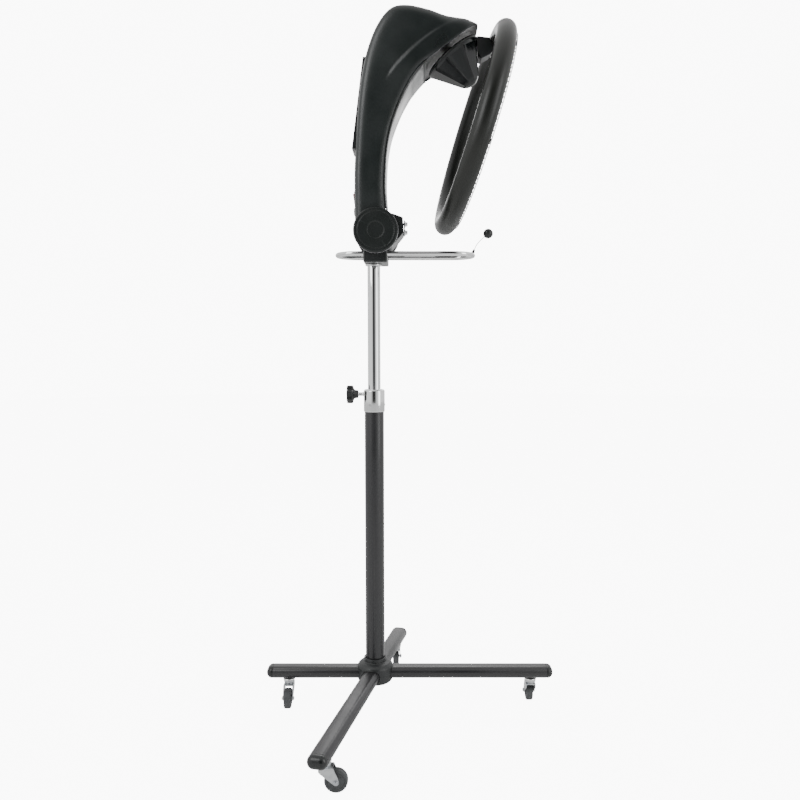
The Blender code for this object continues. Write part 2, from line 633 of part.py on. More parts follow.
def build_arm_shells():
    spread = 24
    rows = [[arm_point(s, -SEAM + 2 * SEAM * k / spread) for k in range(spread + 1)] for s in ARM]
    rear = add("arm_rear_shell", strip_mesh("arm_rear_shell", rows), HOUSING, stand)
    thicken(rear, SHELL_WALL)
    slit = math.radians(3.6)
    spread = 8
    span = 2 * (math.pi - SEAM - slit)
    rows = [[arm_point(s, SEAM + slit + span * k / spread) for k in range(spread + 1)] for s in ARM[1:]]
    front = add("arm_front_shell", strip_mesh("arm_front_shell", rows), HOUSING, stand)
    thicken(front, SHELL_WALL)
    # Fork cheeks at the foot, joined to the rear shell's sides.
    for sign in (-1, 1):
        outline = arc((PIVOT.x, PIVOT.z), CHEEK_R, 128, 200, 6)
        outline += arc((PIVOT.x, PIVOT.z), CHEEK_FOOT_R, 204, 395, 14)
        outline += [(0.0000, 1.2580), (-0.0300, 1.2580)]
        thickness = ARM_HALF_WIDTH - 0.0006 - CHEEK_INNER
        cheek = outline_mesh("cheek", [outline], thickness / 2)
        cheek.transform(Matrix.Rotation(math.radians(90), 4, "X"))
        cheek.transform(Matrix.Translation((0, sign * (CHEEK_INNER + thickness / 2), 0)))
        boolean(rear, add_cutter("cheek" + ("_near" if sign < 0 else "_far"), cheek, stand), "UNION")
    shaft_hole = rod_mesh("cheek_bore", PIVOT_SHAFT_R + GAP, (0, -0.08, 0), (0, 0.08, 0))
    boolean(rear, add_cutter("cheek_bore", shaft_hole, stand, PIVOT))
    at_back = (-0.0445, 0, SWITCH_Z)
    boolean(rear, add_cutter("switch_hole", box_mesh("switch_hole", (0.04, 0.0130, 0.0240)), stand, at_back))
    gland_hole = rod_mesh("gland_hole", GLAND_R + GAP, (-0.06, 0, 0), (-0.02, 0, 0))
    boolean(rear, add_cutter("gland_hole", gland_hole, stand, (0, 0, GLAND_Z)))


def build_pivot():
    half = 0.0740
    shaft = rod_mesh("pivot_shaft", PIVOT_SHAFT_R, (0, -half, 0), (0, half, 0))
    add("pivot_shaft", shaft, STEEL, stand, PIVOT)
    inner = ARM_HALF_WIDTH + GAP
    outer = 0.0790
    for name, turn in (("pivot_cap_near", 90), ("pivot_cap_far", -90)):
        bore = PIVOT_SHAFT_R + GAP
        cap = turned(name, [
            (0.0, outer - 0.0020), (0.0190, outer - 0.0020), (0.0205, outer - 0.0005),
            (0.0430, outer - 0.0005),
            (0.0445, outer), (0.0495, outer), (PIVOT_DISC_R, outer - 0.0040), (PIVOT_DISC_R, inner + 0.0040),
            (0.0515, inner), (bore, inner), (bore, half + GAP), (0.0, half + GAP),
        ], sides=FINE)
        place(cap, BLACK, stand, PIVOT, (math.radians(turn), 0, 0))


def panel_frame():
    """The panel's outer face: origin at its middle, +Z out of it, +X down it."""
    up = (PANEL_TOP - PANEL_BOTTOM).normalized()
    lean = math.atan2(up.x, up.z)
    return empty("panel_face", stand, (PANEL_TOP + PANEL_BOTTOM) / 2, (0, math.radians(-90) + lean, 0))


def build_controls():
    heights = [station[0][1] for station in ARM if PANEL_BOTTOM.z < station[0][1] < PANEL_TOP.z]
    outline = [(PANEL_BOTTOM.x, PANEL_BOTTOM.z), (PANEL_TOP.x, PANEL_TOP.z)]
    for z in (PANEL_TOP.z, *reversed(heights), PANEL_BOTTOM.z):
        outline.append((arm_back(z) - 0.0007, z))
    mesh = outline_mesh("control_panel", [outline], PANEL_HALF_WIDTH)
    mesh.transform(Matrix.Rotation(math.radians(90), 4, "X"))
    panel = add("control_panel", mesh, BLACK, stand)
    face = panel_frame()

    recess = box_mesh("display_recess", (0.0306, 0.0526, 0.0024), (-0.0560, 0, 0))
    boolean(panel, add_cutter("display_recess", recess, face))
    window = box_mesh("display_window", (0.0300, 0.0520, 0.0010), (-0.0560, 0, -0.0004))
    add("display_window", window, WINDOW, face)
    for name, y in (("key_minus", -0.0200), ("key_start", 0.0), ("key_plus", 0.0200)):
        hole = rod_mesh(name + "_hole", 0.0063, (0, 0, -0.0200), (0, 0, 0.005), ROUND)
        boolean(panel, add_cutter(name + "_hole", hole, face, (0.0720, y, 0)))
        key = turned(name, [
            (0.0, 0.0020), (0.0045, 0.0020), (0.0060, 0.0010), (0.0060, -0.0015), (0.0, -0.0015),
        ])
        place(key, STEEL if name == "key_start" else HUB_GREY, face, (0.0720, y, 0))

    back = arm_back(SWITCH_Z)
    flange = box_mesh("switch_frame", (0.0024, 0.0170, 0.0280), (-0.0012 - GAP, 0, 0))
    switch = add("switch_frame", flange, BLACK, stand, (back, 0, SWITCH_Z))
    body = box_mesh("switch_body", (0.0140, 0.0124, 0.0234), (0.0060, 0, 0))
    boolean(switch, add_cutter("switch_body", body, switch), "UNION")
    well = box_mesh("switch_well", (0.0160, 0.0098, 0.0206), (0.0030, 0, 0))
    boolean(switch, add_cutter("switch_well", well, switch))
    rocker = [
        (-0.0060, 0.0092), (-0.0042, 0.0), (-0.0028, -0.0092), (0.0040, -0.0080), (0.0060, 0.0),
        (0.0040, 0.0080),
    ]
    mesh = outline_mesh("power_rocker", [rocker], 0.0044)
    mesh.transform(Matrix.Rotation(math.radians(90), 4, "X"))
    add("power_rocker", mesh, RED, stand, (back, 0, SWITCH_Z))

    # The mains cord's gland.  Its mouth is closed, as the cord is left out.
    gland = turned("cord_gland", [
        (0.0, 0.0010), (GLAND_MOUTH_R, 0.0010), (GLAND_MOUTH_R, 0.0032), (0.0080, 0.0032), (0.0100, 0.0020),
        (0.0100, GAP), (GLAND_R, GAP), (GLAND_R, -0.0100), (0.0, -0.0100),
    ])
    place(gland, BLACK, stand, (arm_back(GLAND_Z), 0, GLAND_Z), (0, math.radians(-90), 0))

    board = box_mesh("circuit_board", (0.1200, 0.0600, 0.0016), (0, 0, -0.0240))
    add("circuit_board", board, BOARD, face)


# ---------------------------------------------------------------- drive and rotor
def gear_outline(teeth, phase=0.0):
    pitch_r = GEAR_MODULE * teeth / 2
    root, tip = pitch_r - 1.15 * GEAR_MODULE, pitch_r + 0.80 * GEAR_MODULE
    pitch = 2 * math.pi / teeth
    outline = []
    for k in range(teeth):
        middle = k * pitch + phase
        for radius, share in ((root, -0.27), (tip, -0.11), (tip, 0.11), (root, 0.27)):
            angle = middle + share * pitch
            outline.append((radius * math.cos(angle), radius * math.sin(angle)))
    return outline


def circle(radius, sides):
    return arc((0.0, 0.0), radius, 0, 360, sides)[:-1]


def build_drive():
    centre_distance = GEAR_MODULE * (GEAR_TEETH + PINION_TEETH) / 2
    gear_z = 0.0460
    shaft_bore = 0.0060 + GAP
    # The plate is dished so that it sits just inside the rim of the arm's round end.
    end_plate = turned("end_plate", ring_profile(0.0660, 0.0150, 0.0120, 0.0145), True, FINE)
    place(end_plate, BLACK, rotor_place)
    bearing = turned("rotor_bearing", ring_profile(0.0145, shaft_bore, 0.0110, 0.0230), True)
    place(bearing, STEEL, rotor_place)
    gear = outline_mesh("rotor_gear", [gear_outline(GEAR_TEETH), circle(shaft_bore, SMALL)], 0.0040)
    add("rotor_gear", gear, NYLON, rotor_axis, (0, 0, gear_z), (0, 0, -ROTOR_PHASE))
    half_tooth = math.pi / PINION_TEETH
    loops = [gear_outline(PINION_TEETH, half_tooth), circle(0.0025 + GAP, SMALL)]
    pinion = outline_mesh("motor_pinion", loops, 0.0042)
    add("motor_pinion", pinion, STEEL, rotor_place, (-centre_distance, 0, gear_z))
    motor = turned("drive_motor", [
        (0.0, gear_z + 0.0030), (0.0025, gear_z + 0.0030), (0.0025, gear_z - 0.0070),
        (0.0080, gear_z - 0.0070), (0.0080, gear_z - 0.0090), (0.0175, gear_z - 0.0090),
        (0.0175, 0.0165), (0.0, 0.0165),
    ])
    place(motor, STEEL, rotor_place, (-centre_distance, 0, 0))
    shaft = turned("rotor_shaft", [
        (0.0, 0.0640), (0.0060, 0.0640), (0.0060, 0.0100), (0.0130, 0.0090), (0.0130, -0.0010),
        (0.0655, -0.0010), (0.0655, -0.0035), (0.0100, -0.0035), (0.0060, -0.0200), (0.0, -0.0200),
    ], sides=FINE)
    place(shaft, STEEL, rotor_axis)


CONE_OUTSIDE = [
    (0.0700, 0.0), (CONE_R, -0.0060), (0.0372, -0.0560), (0.0258, -0.0735), (0.0160, -0.0815), (0.0, -0.0865),
]
CONE_INSIDE = [
    (0.0, -0.0838), (0.0145, -0.0790), (0.0235, -0.0718), (0.0345, -0.0546), (0.0672, -0.0070), (0.0672, 0.0),
]


def build_rotor():
    cone = turned("rotor_cone", CONE_OUTSIDE + CONE_INSIDE, sides=FINE)
    # The profile closes along the open rim, from its inner edge to its outer one.
    rim = bmesh.new()
    rim.from_mesh(cone.data)
    rim.verts.ensure_lookup_table()
    rim.edges.new((rim.verts[-1], rim.verts[0]))
    for edge in [e for e in rim.edges if all(v.co.x < 1e-6 for v in e.verts)]:
        rim.edges.remove(edge)
    rim.to_mesh(cone.data)
    rim.free()
    place(cone, BLACK, rotor_axis)

    # The bracket reaches from the cone's flank to the ring's back.
    outline = [
        (0.0600, -0.0020), (0.0740, -0.0015), (0.0930, -0.0180), (0.1060, -0.0300), (0.0960, -0.0480),
        (0.0724, -0.0535), (0.0480, -0.0500), (0.0500, -0.0200),
    ]
    mesh = outline_mesh("ring_bracket", [outline], 0.0170)
    mesh.transform(Matrix.Rotation(math.radians(90), 4, "X"))
    bracket = bevel(add("ring_bracket", mesh, BLACK, rotor_axis), 0.0012, 1)
    cone_room = turned("cone_room", [
        (0.0, 0.0200), (0.0703, 0.0200), (CONE_R + GAP, -0.0060), (0.0376, -0.0562), (0.0, -0.0900),
    ], sides=FINE)
    hide_cutter(place(cone_room, None, rotor_axis, collection=cutters))
    room = RING_SECTION_R + 2 * GAP
    section = arc((RING_R, 0.0), room, 90, -270, 24)[:-1]
    ring_cutter = turned("ring_room", section, closed=True, sides=RING_STEPS)
    hide_cutter(place(ring_cutter, None, ring_axis, collection=cutters))
    boolean(bracket, cone_room)
    boolean(bracket, ring_cutter)


# ---------------------------------------------------------------- ring
def ring_section(radius, angle):
    """A point (r, z) about the ring's centre line; angle 0 is +Z, and outward is positive."""
    return (RING_R + radius * math.sin(angle), radius * math.cos(angle))


def channel(outer, inner, lip, steps):
    """A C section open towards the ring's facing, as a closed profile about its centre line."""
    def point(radius, angle):
        return ring_section(radius, RING_FACING + angle)
    turn = 2 * math.pi - 2 * lip
    out = [point(outer, lip + turn * k / steps) for k in range(steps + 1)]
    back = [point(inner, lip + turn * k / steps) for k in range(steps, -1, -1)]
    return out + back


def build_ring():
    steps = RING_STEPS
    wall = channel(RING_SECTION_R, RING_SECTION_R - RING_WALL, RING_LIP, 9)
    shell = turned("ring_shell", wall, True, steps)
    place(shell, RING_PLASTIC, ring_axis)
    reflector = turned("ring_reflector", channel(0.0198, 0.0188, math.radians(48), 5), True, steps)
    place(reflector, REFLECTOR, ring_axis)
    lamp_r, lamp_z = ring_section(0.0040, RING_FACING)
    loop = [(x, y, lamp_z) for x, y in circle(lamp_r, steps)]
    place(wire("ring_lamp", loop, 0.0050, cyclic=True), QUARTZ, ring_axis)
    waves = 30
    zigzag = []
    for k in range(waves * 2):
        angle = math.pi * k / waves
        edge = RING_FACING + (0.9 if k % 2 else -0.9) * RING_LIP
        radius, z = ring_section(GUARD_REACH, edge)
        zigzag.append((radius * math.cos(angle), radius * math.sin(angle), z))
    place(wire("ring_guard", zigzag, 0.0009, cyclic=True, resolution=1), CHROME, ring_axis)


for side, (angle, reach, _) in LEGS.items():
    build_leg(side, angle, reach)
    build_leg_cap(side, angle, reach)
build_hub()
build_column()
build_clamp()
build_casters()
build_mast()
build_rail_block()
build_rail()
build_gauge()
build_knuckle()
build_arm_shells()
build_pivot()
build_controls()
build_drive()
build_rotor()
build_ring()
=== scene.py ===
"""Detailed view of the orbiting-ring hair dryer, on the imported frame."""
import json
import math

import bmesh
import bpy
from mathutils import Matrix, Vector


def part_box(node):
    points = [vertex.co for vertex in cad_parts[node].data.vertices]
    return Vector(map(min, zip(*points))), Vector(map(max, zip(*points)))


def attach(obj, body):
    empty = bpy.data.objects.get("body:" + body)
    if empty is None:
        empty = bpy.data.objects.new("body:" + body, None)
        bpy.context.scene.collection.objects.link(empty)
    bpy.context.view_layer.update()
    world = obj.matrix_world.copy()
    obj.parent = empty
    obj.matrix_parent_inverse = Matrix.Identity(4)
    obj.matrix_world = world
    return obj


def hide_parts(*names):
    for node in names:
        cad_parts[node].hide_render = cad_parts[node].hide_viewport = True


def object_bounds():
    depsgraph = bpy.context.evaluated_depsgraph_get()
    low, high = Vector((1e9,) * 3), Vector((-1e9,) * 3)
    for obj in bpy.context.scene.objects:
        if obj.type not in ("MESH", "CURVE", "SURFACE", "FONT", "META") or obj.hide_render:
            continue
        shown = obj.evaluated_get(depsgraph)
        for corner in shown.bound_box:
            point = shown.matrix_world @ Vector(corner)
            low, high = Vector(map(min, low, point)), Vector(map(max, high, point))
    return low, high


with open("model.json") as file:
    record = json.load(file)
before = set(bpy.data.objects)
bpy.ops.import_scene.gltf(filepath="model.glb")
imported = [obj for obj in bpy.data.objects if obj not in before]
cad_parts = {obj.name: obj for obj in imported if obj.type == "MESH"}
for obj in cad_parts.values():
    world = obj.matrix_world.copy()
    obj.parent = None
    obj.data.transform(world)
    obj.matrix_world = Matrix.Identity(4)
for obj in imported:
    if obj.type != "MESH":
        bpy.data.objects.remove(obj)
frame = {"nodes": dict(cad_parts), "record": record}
CAD_BOX = [list(corner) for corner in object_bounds()]


def middle(node):
    low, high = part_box(node)
    return (Vector(low) + Vector(high)) / 2


TUBE = middle("column_tube")
STAND = Vector((TUBE.x, TUBE.y, 0.0))
JOINTS = {joint["name"]: joint for joint in frame["record"]["behaviour"]["joints"]}
TILT = Vector(JOINTS["head_tilt"]["pos_m"])
ORBIT = Vector(JOINTS["ring_orbit"]["pos_m"])


def turned(degrees, axis):
    return Matrix.Rotation(math.radians(degrees), 4, axis)


# The rotor's axis leans forward, and the ring rests a little way round its orbit.
ROTOR = Matrix.Translation(ORBIT) @ turned(-37.3, "Y")
SPUN = ROTOR @ turned(7.4, "Z")
RING = SPUN @ Matrix.Translation((-0.0683, 0, -0.1738)) @ turned(143.3, "Y")
RING_R = 0.2314       # centre line of the ring
RING_LEAN = 28        # degrees that the ring's mouth leans towards its middle


# ---------------------------------------------------------------- materials
def finish(name, dark, light, roughness, metallic=0.0, grain=900.0, bump=0.05, patch=9.0, spread=0.08,
           coat=0.0, stretch=(1, 1, 1), edge_highlight=0.0, shine=0.5):
    """A moulded, painted or plated finish: tone and gloss vary in soft patches, with a fine surface grain."""
    material = bpy.data.materials.new(name)
    material.use_nodes = True
    nodes, links = material.node_tree.nodes, material.node_tree.links
    shader = nodes["Principled BSDF"]
    shader.inputs["Metallic"].default_value = metallic
    shader.inputs["Specular IOR Level"].default_value = shine
    shader.inputs["Coat Weight"].default_value = coat
    shader.inputs["Coat Roughness"].default_value = 0.12
    where = nodes.new("ShaderNodeTexCoord")
    mapping = nodes.new("ShaderNodeMapping")
    mapping.inputs["Scale"].default_value = stretch
    links.new(where.outputs["Object"], mapping.inputs["Vector"])

    patches = nodes.new("ShaderNodeTexNoise")
    patches.inputs["Scale"].default_value = patch
    patches.inputs["Detail"].default_value = 5.0
    links.new(mapping.outputs["Vector"], patches.inputs["Vector"])
    tone = nodes.new("ShaderNodeValToRGB")
    tone.color_ramp.elements[0].position = 0.32
    tone.color_ramp.elements[0].color = (*dark, 1)
    tone.color_ramp.elements[1].position = 0.68
    tone.color_ramp.elements[1].color = (*light, 1)
    links.new(patches.outputs["Fac"], tone.inputs["Fac"])
    colour = tone.outputs["Color"]

    if edge_highlight:
        # Painted highlight: the convex edges are painted paler, as if they caught the light.
        edges = nodes.new("ShaderNodeNewGeometry")
        highlight_mask = nodes.new("ShaderNodeMapRange")
        highlight_mask.inputs["From Min"].default_value = 0.52
        highlight_mask.inputs["From Max"].default_value = 0.62
        highlight_mask.inputs["To Max"].default_value = edge_highlight
        links.new(edges.outputs["Pointiness"], highlight_mask.inputs["Value"])
        blend = nodes.new("ShaderNodeMix")
        blend.data_type = "RGBA"
        blend.inputs["B"].default_value = (*[min(1.0, c * 2.6 + 0.02) for c in light], 1)
        links.new(highlight_mask.outputs["Result"], blend.inputs["Factor"])
        links.new(colour, blend.inputs["A"])
        colour = blend.outputs["Result"]
    links.new(colour, shader.inputs["Base Color"])

    gloss = nodes.new("ShaderNodeMapRange")
    gloss.inputs["From Min"].default_value = 0.3
    gloss.inputs["From Max"].default_value = 0.7
    gloss.inputs["To Min"].default_value = max(0.02, roughness - spread)
    gloss.inputs["To Max"].default_value = roughness + spread
    links.new(patches.outputs["Fac"], gloss.inputs["Value"])
    links.new(gloss.outputs["Result"], shader.inputs["Roughness"])

    fine = nodes.new("ShaderNodeTexNoise")
    fine.inputs["Scale"].default_value = grain
    fine.inputs["Detail"].default_value = 3.0
    links.new(mapping.outputs["Vector"], fine.inputs["Vector"])
    relief = nodes.new("ShaderNodeBump")
    relief.inputs["Strength"].default_value = bump
    relief.inputs["Distance"].default_value = 0.0004
    links.new(fine.outputs["Fac"], relief.inputs["Height"])
    links.new(relief.outputs["Normal"], shader.inputs["Normal"])
    return material


# Each finish's convex-edge amount paints paler highlights along its edges. They are strongest on the glossy
# cone's ribs and the pivot discs' rims.
HOUSING = finish("housing_satin", (0.011, 0.0145, 0.014), (0.016, 0.0200, 0.0193), 0.34, grain=1400,
                 bump=0.10, edge_highlight=0.3)
# A paler copy of the housing plastic, for the inner cover and the mouth lip: painted reflection of the bright
# room on the inner face.
INNER_PAINTED_REFLECTION = finish("housing_inner_painted_reflection", (0.020, 0.024, 0.023), (0.028, 0.032, 0.031), 0.36, grain=1400,
               bump=0.12)
RING_MAT = finish("ring_satin", (0.0115, 0.0125, 0.0110), (0.0160, 0.0170, 0.0150), 0.36, grain=1600,
                  bump=0.08, edge_highlight=0.2, shine=0.32)
BLACK = finish("black_moulded", (0.005, 0.0065, 0.0065), (0.009, 0.0105, 0.0105), 0.33, grain=1500,
               bump=0.10, edge_highlight=0.35)
GLOSS = finish("black_glossy", (0.003, 0.0045, 0.005), (0.006, 0.0075, 0.008), 0.16, grain=900,
               bump=0.02, spread=0.03, edge_highlight=1.0, shine=0.34)
DISC = finish("pivot_disc", (0.006, 0.0085, 0.008), (0.009, 0.0115, 0.011), 0.38, grain=1200, bump=0.18,
              edge_highlight=0.8, shine=0.4)
HUB = finish("hub_textured", (0.013, 0.015, 0.0155), (0.021, 0.023, 0.0235), 0.50, grain=700, bump=0.45,
             edge_highlight=0.4)
PAINT = finish("leg_paint_dark", (0.013, 0.013, 0.0145), (0.018, 0.018, 0.0195), 0.38, grain=500,
               bump=0.12, coat=0.15, edge_highlight=0.4)
CHROME = finish("chrome_plate", (0.70, 0.71, 0.71), (0.78, 0.785, 0.78), 0.07, 1.0, grain=250,
                bump=0.015, spread=0.025)
ZINC = finish("zinc_plated", (0.42, 0.44, 0.46), (0.62, 0.63, 0.63), 0.34, 1.0, grain=400, bump=0.12,
              patch=60, spread=0.1)
STEEL = finish("steel_turned", (0.33, 0.33, 0.34), (0.46, 0.46, 0.47), 0.30, 1.0, grain=600, bump=0.10,
               stretch=(1, 1, 18))
NYLON = finish("nylon_natural", (0.62, 0.61, 0.56), (0.74, 0.73, 0.69), 0.50, grain=900, bump=0.15)
RUBBER = finish("wheel_tread", (0.055, 0.060, 0.062), (0.085, 0.090, 0.092), 0.62, grain=650, bump=0.40,
                patch=40)
RED = finish("red_moulded", (0.50, 0.018, 0.018), (0.66, 0.035, 0.03), 0.30, grain=1500, bump=0.05)
GLASS = finish("window_dark", (0.010, 0.016, 0.018), (0.016, 0.024, 0.026), 0.06, grain=300, bump=0.01,
               spread=0.02, coat=0.8)
MIRROR = finish("reflector_bright", (0.80, 0.80, 0.78), (0.93, 0.93, 0.91), 0.16, 1.0, grain=160,
                bump=0.12, spread=0.05)
QUARTZ = finish("lamp_frosted", (0.74, 0.69, 0.62), (0.86, 0.82, 0.76), 0.16, grain=400, bump=0.05,
                patch=30)
BOARD = finish("board_green", (0.012, 0.085, 0.035), (0.022, 0.150, 0.060), 0.45, grain=300, bump=0.3,
               patch=90)

SIDES = ("right", "left", "front", "rear")
CARRIED = {
    HOUSING: ["arm_rear_shell"],
    INNER_PAINTED_REFLECTION: ["arm_front_shell"],
    RING_MAT: ["ring_shell"],
    BLACK: ["clamp_knob", "mast_washer", "rail_block", "gauge_socket", "gauge_ball", "tilt_knuckle",
            "control_panel", "switch_frame", "cord_gland", "end_plate", "ring_bracket",
            *["leg_cap_" + side for side in SIDES]],
    GLOSS: ["rotor_cone"],
    DISC: ["pivot_cap_near", "pivot_cap_far"],
    HUB: ["hub_upper", "hub_lower", "key_plus", "key_minus"],
    PAINT: ["column_tube", *["leg_" + side for side in SIDES]],
    CHROME: ["column_collar", "clamp_stud", "mast_tube", "handle_rail", "tilt_screw_upper",
             "tilt_screw_lower", "ring_guard"],
    ZINC: ["caster_fork_" + side for side in SIDES],
    STEEL: ["gauge_wire", "pivot_shaft", "drive_motor", "motor_pinion", "rotor_bearing", "rotor_shaft",
            "key_start"],
    NYLON: ["guide_bush", "slide_bush", "rotor_gear"],
    RUBBER: ["caster_wheel_" + side for side in SIDES],
    RED: ["power_rocker"],
    GLASS: ["display_window"],
    MIRROR: ["ring_reflector"],
    QUARTZ: ["ring_lamp"],
    BOARD: ["circuit_board"],
}
for material, names in CARRIED.items():
    for node in names:
        for slot in frame["nodes"][node].material_slots:
            slot.link = "OBJECT"
            slot.material = material


# ---------------------------------------------------------------- mesh helpers
def add(name, bm, material, body, matrix=None, replaces=(), angle=40):
    """Puts a finished mesh in the row frame, on its body."""
    bmesh.ops.remove_doubles(bm, verts=bm.verts, dist=0.000005)
    bmesh.ops.recalc_face_normals(bm, faces=bm.faces)
    if matrix is not None:
        bmesh.ops.transform(bm, matrix=matrix, verts=bm.verts)
    mesh = bpy.data.meshes.new(name)
    bm.to_mesh(mesh)
    bm.free()
    mesh.shade_smooth()
    mesh.set_sharp_from_angle(angle=math.radians(angle))
    mesh.materials.append(material)
    piece = bpy.data.objects.new(name, mesh)
    bpy.context.scene.collection.objects.link(piece)
    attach(piece, body)
    if replaces:
        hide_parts(*replaces)
    return piece


def turns(count):
    """Angles evenly spaced round a full turn."""
    return [2 * math.pi * k / count for k in range(count)]


def polar(radius, angle, z):
    return radius * math.cos(angle), radius * math.sin(angle), z


def soften_edges(piece, width, segments, degrees):
    """Rounds the corners of a piece that are sharper than an angle."""
    soft = piece.modifiers.new("edge", "BEVEL")
    soft.width = width
    soft.segments = segments
    soft.limit_method = "ANGLE"
    soft.angle_limit = math.radians(degrees)


def skin(rows, around=True, along=False, caps=False):
    """A surface through rows of points."""
    bm = bmesh.new()
    grid = [[bm.verts.new(point) for point in row] for row in rows]
    count = len(grid[0])
    for r in range(len(grid) if along else len(grid) - 1):
        low, high = grid[r], grid[(r + 1) % len(grid)]
        for k in range(count if around else count - 1):
            after = (k + 1) % count
            bm.faces.new((low[k], low[after], high[after], high[k]))
    if caps:
        bm.faces.new(grid[0])
        bm.faces.new(grid[-1])
    return bm


def rounded(profile, radius=0.0006, steps=3, closed=True):
    """Softens the corners of an (r, z) profile."""
    points = [Vector((r, z)) for r, z in profile]
    result = []
    for k, corner in enumerate(points):
        if not closed and k in (0, len(points) - 1):
            result.append(corner)
            continue
        before, after = points[k - 1] - corner, points[(k + 1) % len(points)] - corner
        reach = min(radius, before.length * 0.45, after.length * 0.45)
        start, end = corner + before.normalized() * reach, corner + after.normalized() * reach
        for i in range(steps + 1):
            t = i / steps
            result.append(start * (1 - t) ** 2 + corner * 2 * t * (1 - t) + end * t ** 2)
    return [(p.x, p.y) for p in result]


def lathe(profile, sides=96, radius=0.0006, closed=True):
    """A closed turned shape from an (r, z) profile. An open profile starts and ends on the axis."""
    points = rounded(profile, radius, closed=closed)
    rows = [[polar(r, a, z) for r, z in points] for a in turns(sides)]
    return skin(rows, around=closed, along=True)


def bar(points, radius, sides=24, cyclic=False, caps=True):
    """A round bar along a path, with frames that don't twist."""
    points = [Vector(p) for p in points]
    count = len(points)
    rows, side = [], None
    for k, point in enumerate(points):
        if cyclic:
            ahead, behind = points[(k + 1) % count], points[k - 1]
        else:
            ahead, behind = points[min(k + 1, count - 1)], points[max(k - 1, 0)]
        along = (ahead - behind).normalized()
        if side is None:
            side = along.orthogonal().normalized()
        side = (side - along * side.dot(along)).normalized()
        other = along.cross(side)
        width = radius(k / (count - 1)) if callable(radius) else radius
        rows.append([point + (side * math.cos(a) + other * math.sin(a)) * width for a in turns(sides)])
    return skin(rows, along=cyclic, caps=caps and not cyclic)


def block(size, centre, soften=0.0008, segments=3):
    """A box with softened edges."""
    bm = bmesh.new()
    bmesh.ops.create_cube(bm, size=1.0)
    bmesh.ops.scale(bm, vec=size, verts=bm.verts)
    bmesh.ops.bevel(bm, geom=list(bm.edges), offset=soften, segments=segments, affect="EDGES", profile=0.5)
    bmesh.ops.translate(bm, vec=centre, verts=bm.verts)
    return bm


def catmull(rows, steps):
    """Smooth values between rows of numbers."""
    first = [2 * a - b for a, b in zip(rows[0], rows[1])]
    last = [2 * a - b for a, b in zip(rows[-1], rows[-2])]
    ends = [first, *rows, last]
    result = []
    for p0, p1, p2, p3 in zip(ends, ends[1:], ends[2:], ends[3:]):
        for k in range(steps):
            t = k / steps
            result.append([0.5 * (2 * b + (c - a) * t + (2 * a - 5 * b + 4 * c - d) * t * t
                           + (3 * b - a - 3 * c + d) * t ** 3) for a, b, c, d in zip(p0, p1, p2, p3)])
    return result + [list(rows[-1])]


def smoothstep(value):
    """Eases from 0 to 1 as the value does."""
    value = min(1.0, max(0.0, value))
    return value * value * (3 - 2 * value)


# ---------------------------------------------------------------- arm
# Back edge x, z; front edge x, z; half width; squareness at the back, at the front.
# From the pivot up to the round end.
STEPS = 10
SEAM, INNER_SPAN = 73, 26             # steps from the back to the seam, and from the seam to the front
SEAM_ANGLE, SLIT_ANGLE = 142.0, 2.4   # where the two shells meet, in degrees from the back
ARM = catmull([
    (-0.0435, 1.2120, 0.0330, 1.2120, 0.0600, 5.0, 5.0), (-0.0445, 1.2450, 0.0325, 1.2450, 0.0600, 5.0, 5.0),
    (-0.0445, 1.2900, 0.0297, 1.2900, 0.0605, 5.0, 5.0), (-0.0440, 1.3350, 0.0303, 1.3310, 0.0612, 5.0, 5.5),
    (-0.0415, 1.3850, 0.0333, 1.3750, 0.0630, 5.0, 6.5), (-0.0385, 1.4350, 0.0410, 1.4200, 0.0660, 5.2, 8.0),
    (-0.0340, 1.4870, 0.0530, 1.4580, 0.0700, 5.5, 9.5), (-0.0265, 1.5450, 0.0690, 1.4960, 0.0745, 5.8, 11.0),
    (-0.0120, 1.6070, 0.0870, 1.5290, 0.0790, 6.2, 12.0), (0.0120, 1.6630, 0.0970, 1.5430, 0.0820, 6.6, 12.0),
    (0.0430, 1.6985, 0.1045, 1.5530, 0.0840, 6.8, 12.0), (0.0800, 1.7060, 0.1105, 1.5605, 0.0850, 6.6, 12.0),
    (0.1300, 1.6975, 0.1150, 1.5662, 0.0855, 5.8, 12.0), (0.1750, 1.6845, 0.1180, 1.5705, 0.0855, 4.8, 12.0),
    (0.2200, 1.6775, 0.1205, 1.5735, 0.0850, 4.6, 11.0), (0.2490, 1.6675, 0.1225, 1.5760, 0.0840, 4.2, 10.0),
], STEPS)
# The crease across the arm's side, x and z, from its faint lower end up to the mouth.
CREASE = catmull([
    (0.030, 1.530), (0.053, 1.562), (0.090, 1.598), (0.125, 1.626), (0.158, 1.647), (0.190, 1.6635),
    (0.216, 1.6735),
], 3)
PRESSED, ROLLED = 0.0026, 0.0008      # how deep the skin is pressed above it, and raised below it


def crease_depth(x, z):
    """How far the skin is pressed in above its crease, less the roll of the rim below it."""
    best, signed, share = 1.0, 0.0, 0.0
    for k, ((x0, z0), (x1, z1)) in enumerate(zip(CREASE, CREASE[1:])):
        dx, dz = x1 - x0, z1 - z0
        t = min(1.0, max(0.0, ((x - x0) * dx + (z - z0) * dz) / (dx * dx + dz * dz)))
        px, pz = x - x0 - dx * t, z - z0 - dz * t
        offset = math.hypot(px, pz)
        if offset < best:
            best, share = offset, (k + t) / (len(CREASE) - 1)
            signed = dx * pz - dz * px
    above = math.copysign(best, signed)
    pressed = smoothstep((above + 0.0012) / 0.0036) * (1 - smoothstep((above - 0.004) / 0.040))
    rolled = smoothstep(-above / 0.004) * (1 - smoothstep((-above - 0.004) / 0.022))
    fading = smoothstep(share / 0.16) * (1 - 0.85 * smoothstep((share - 0.45) / 0.35))
    return (PRESSED * pressed - ROLLED * rolled) * fading


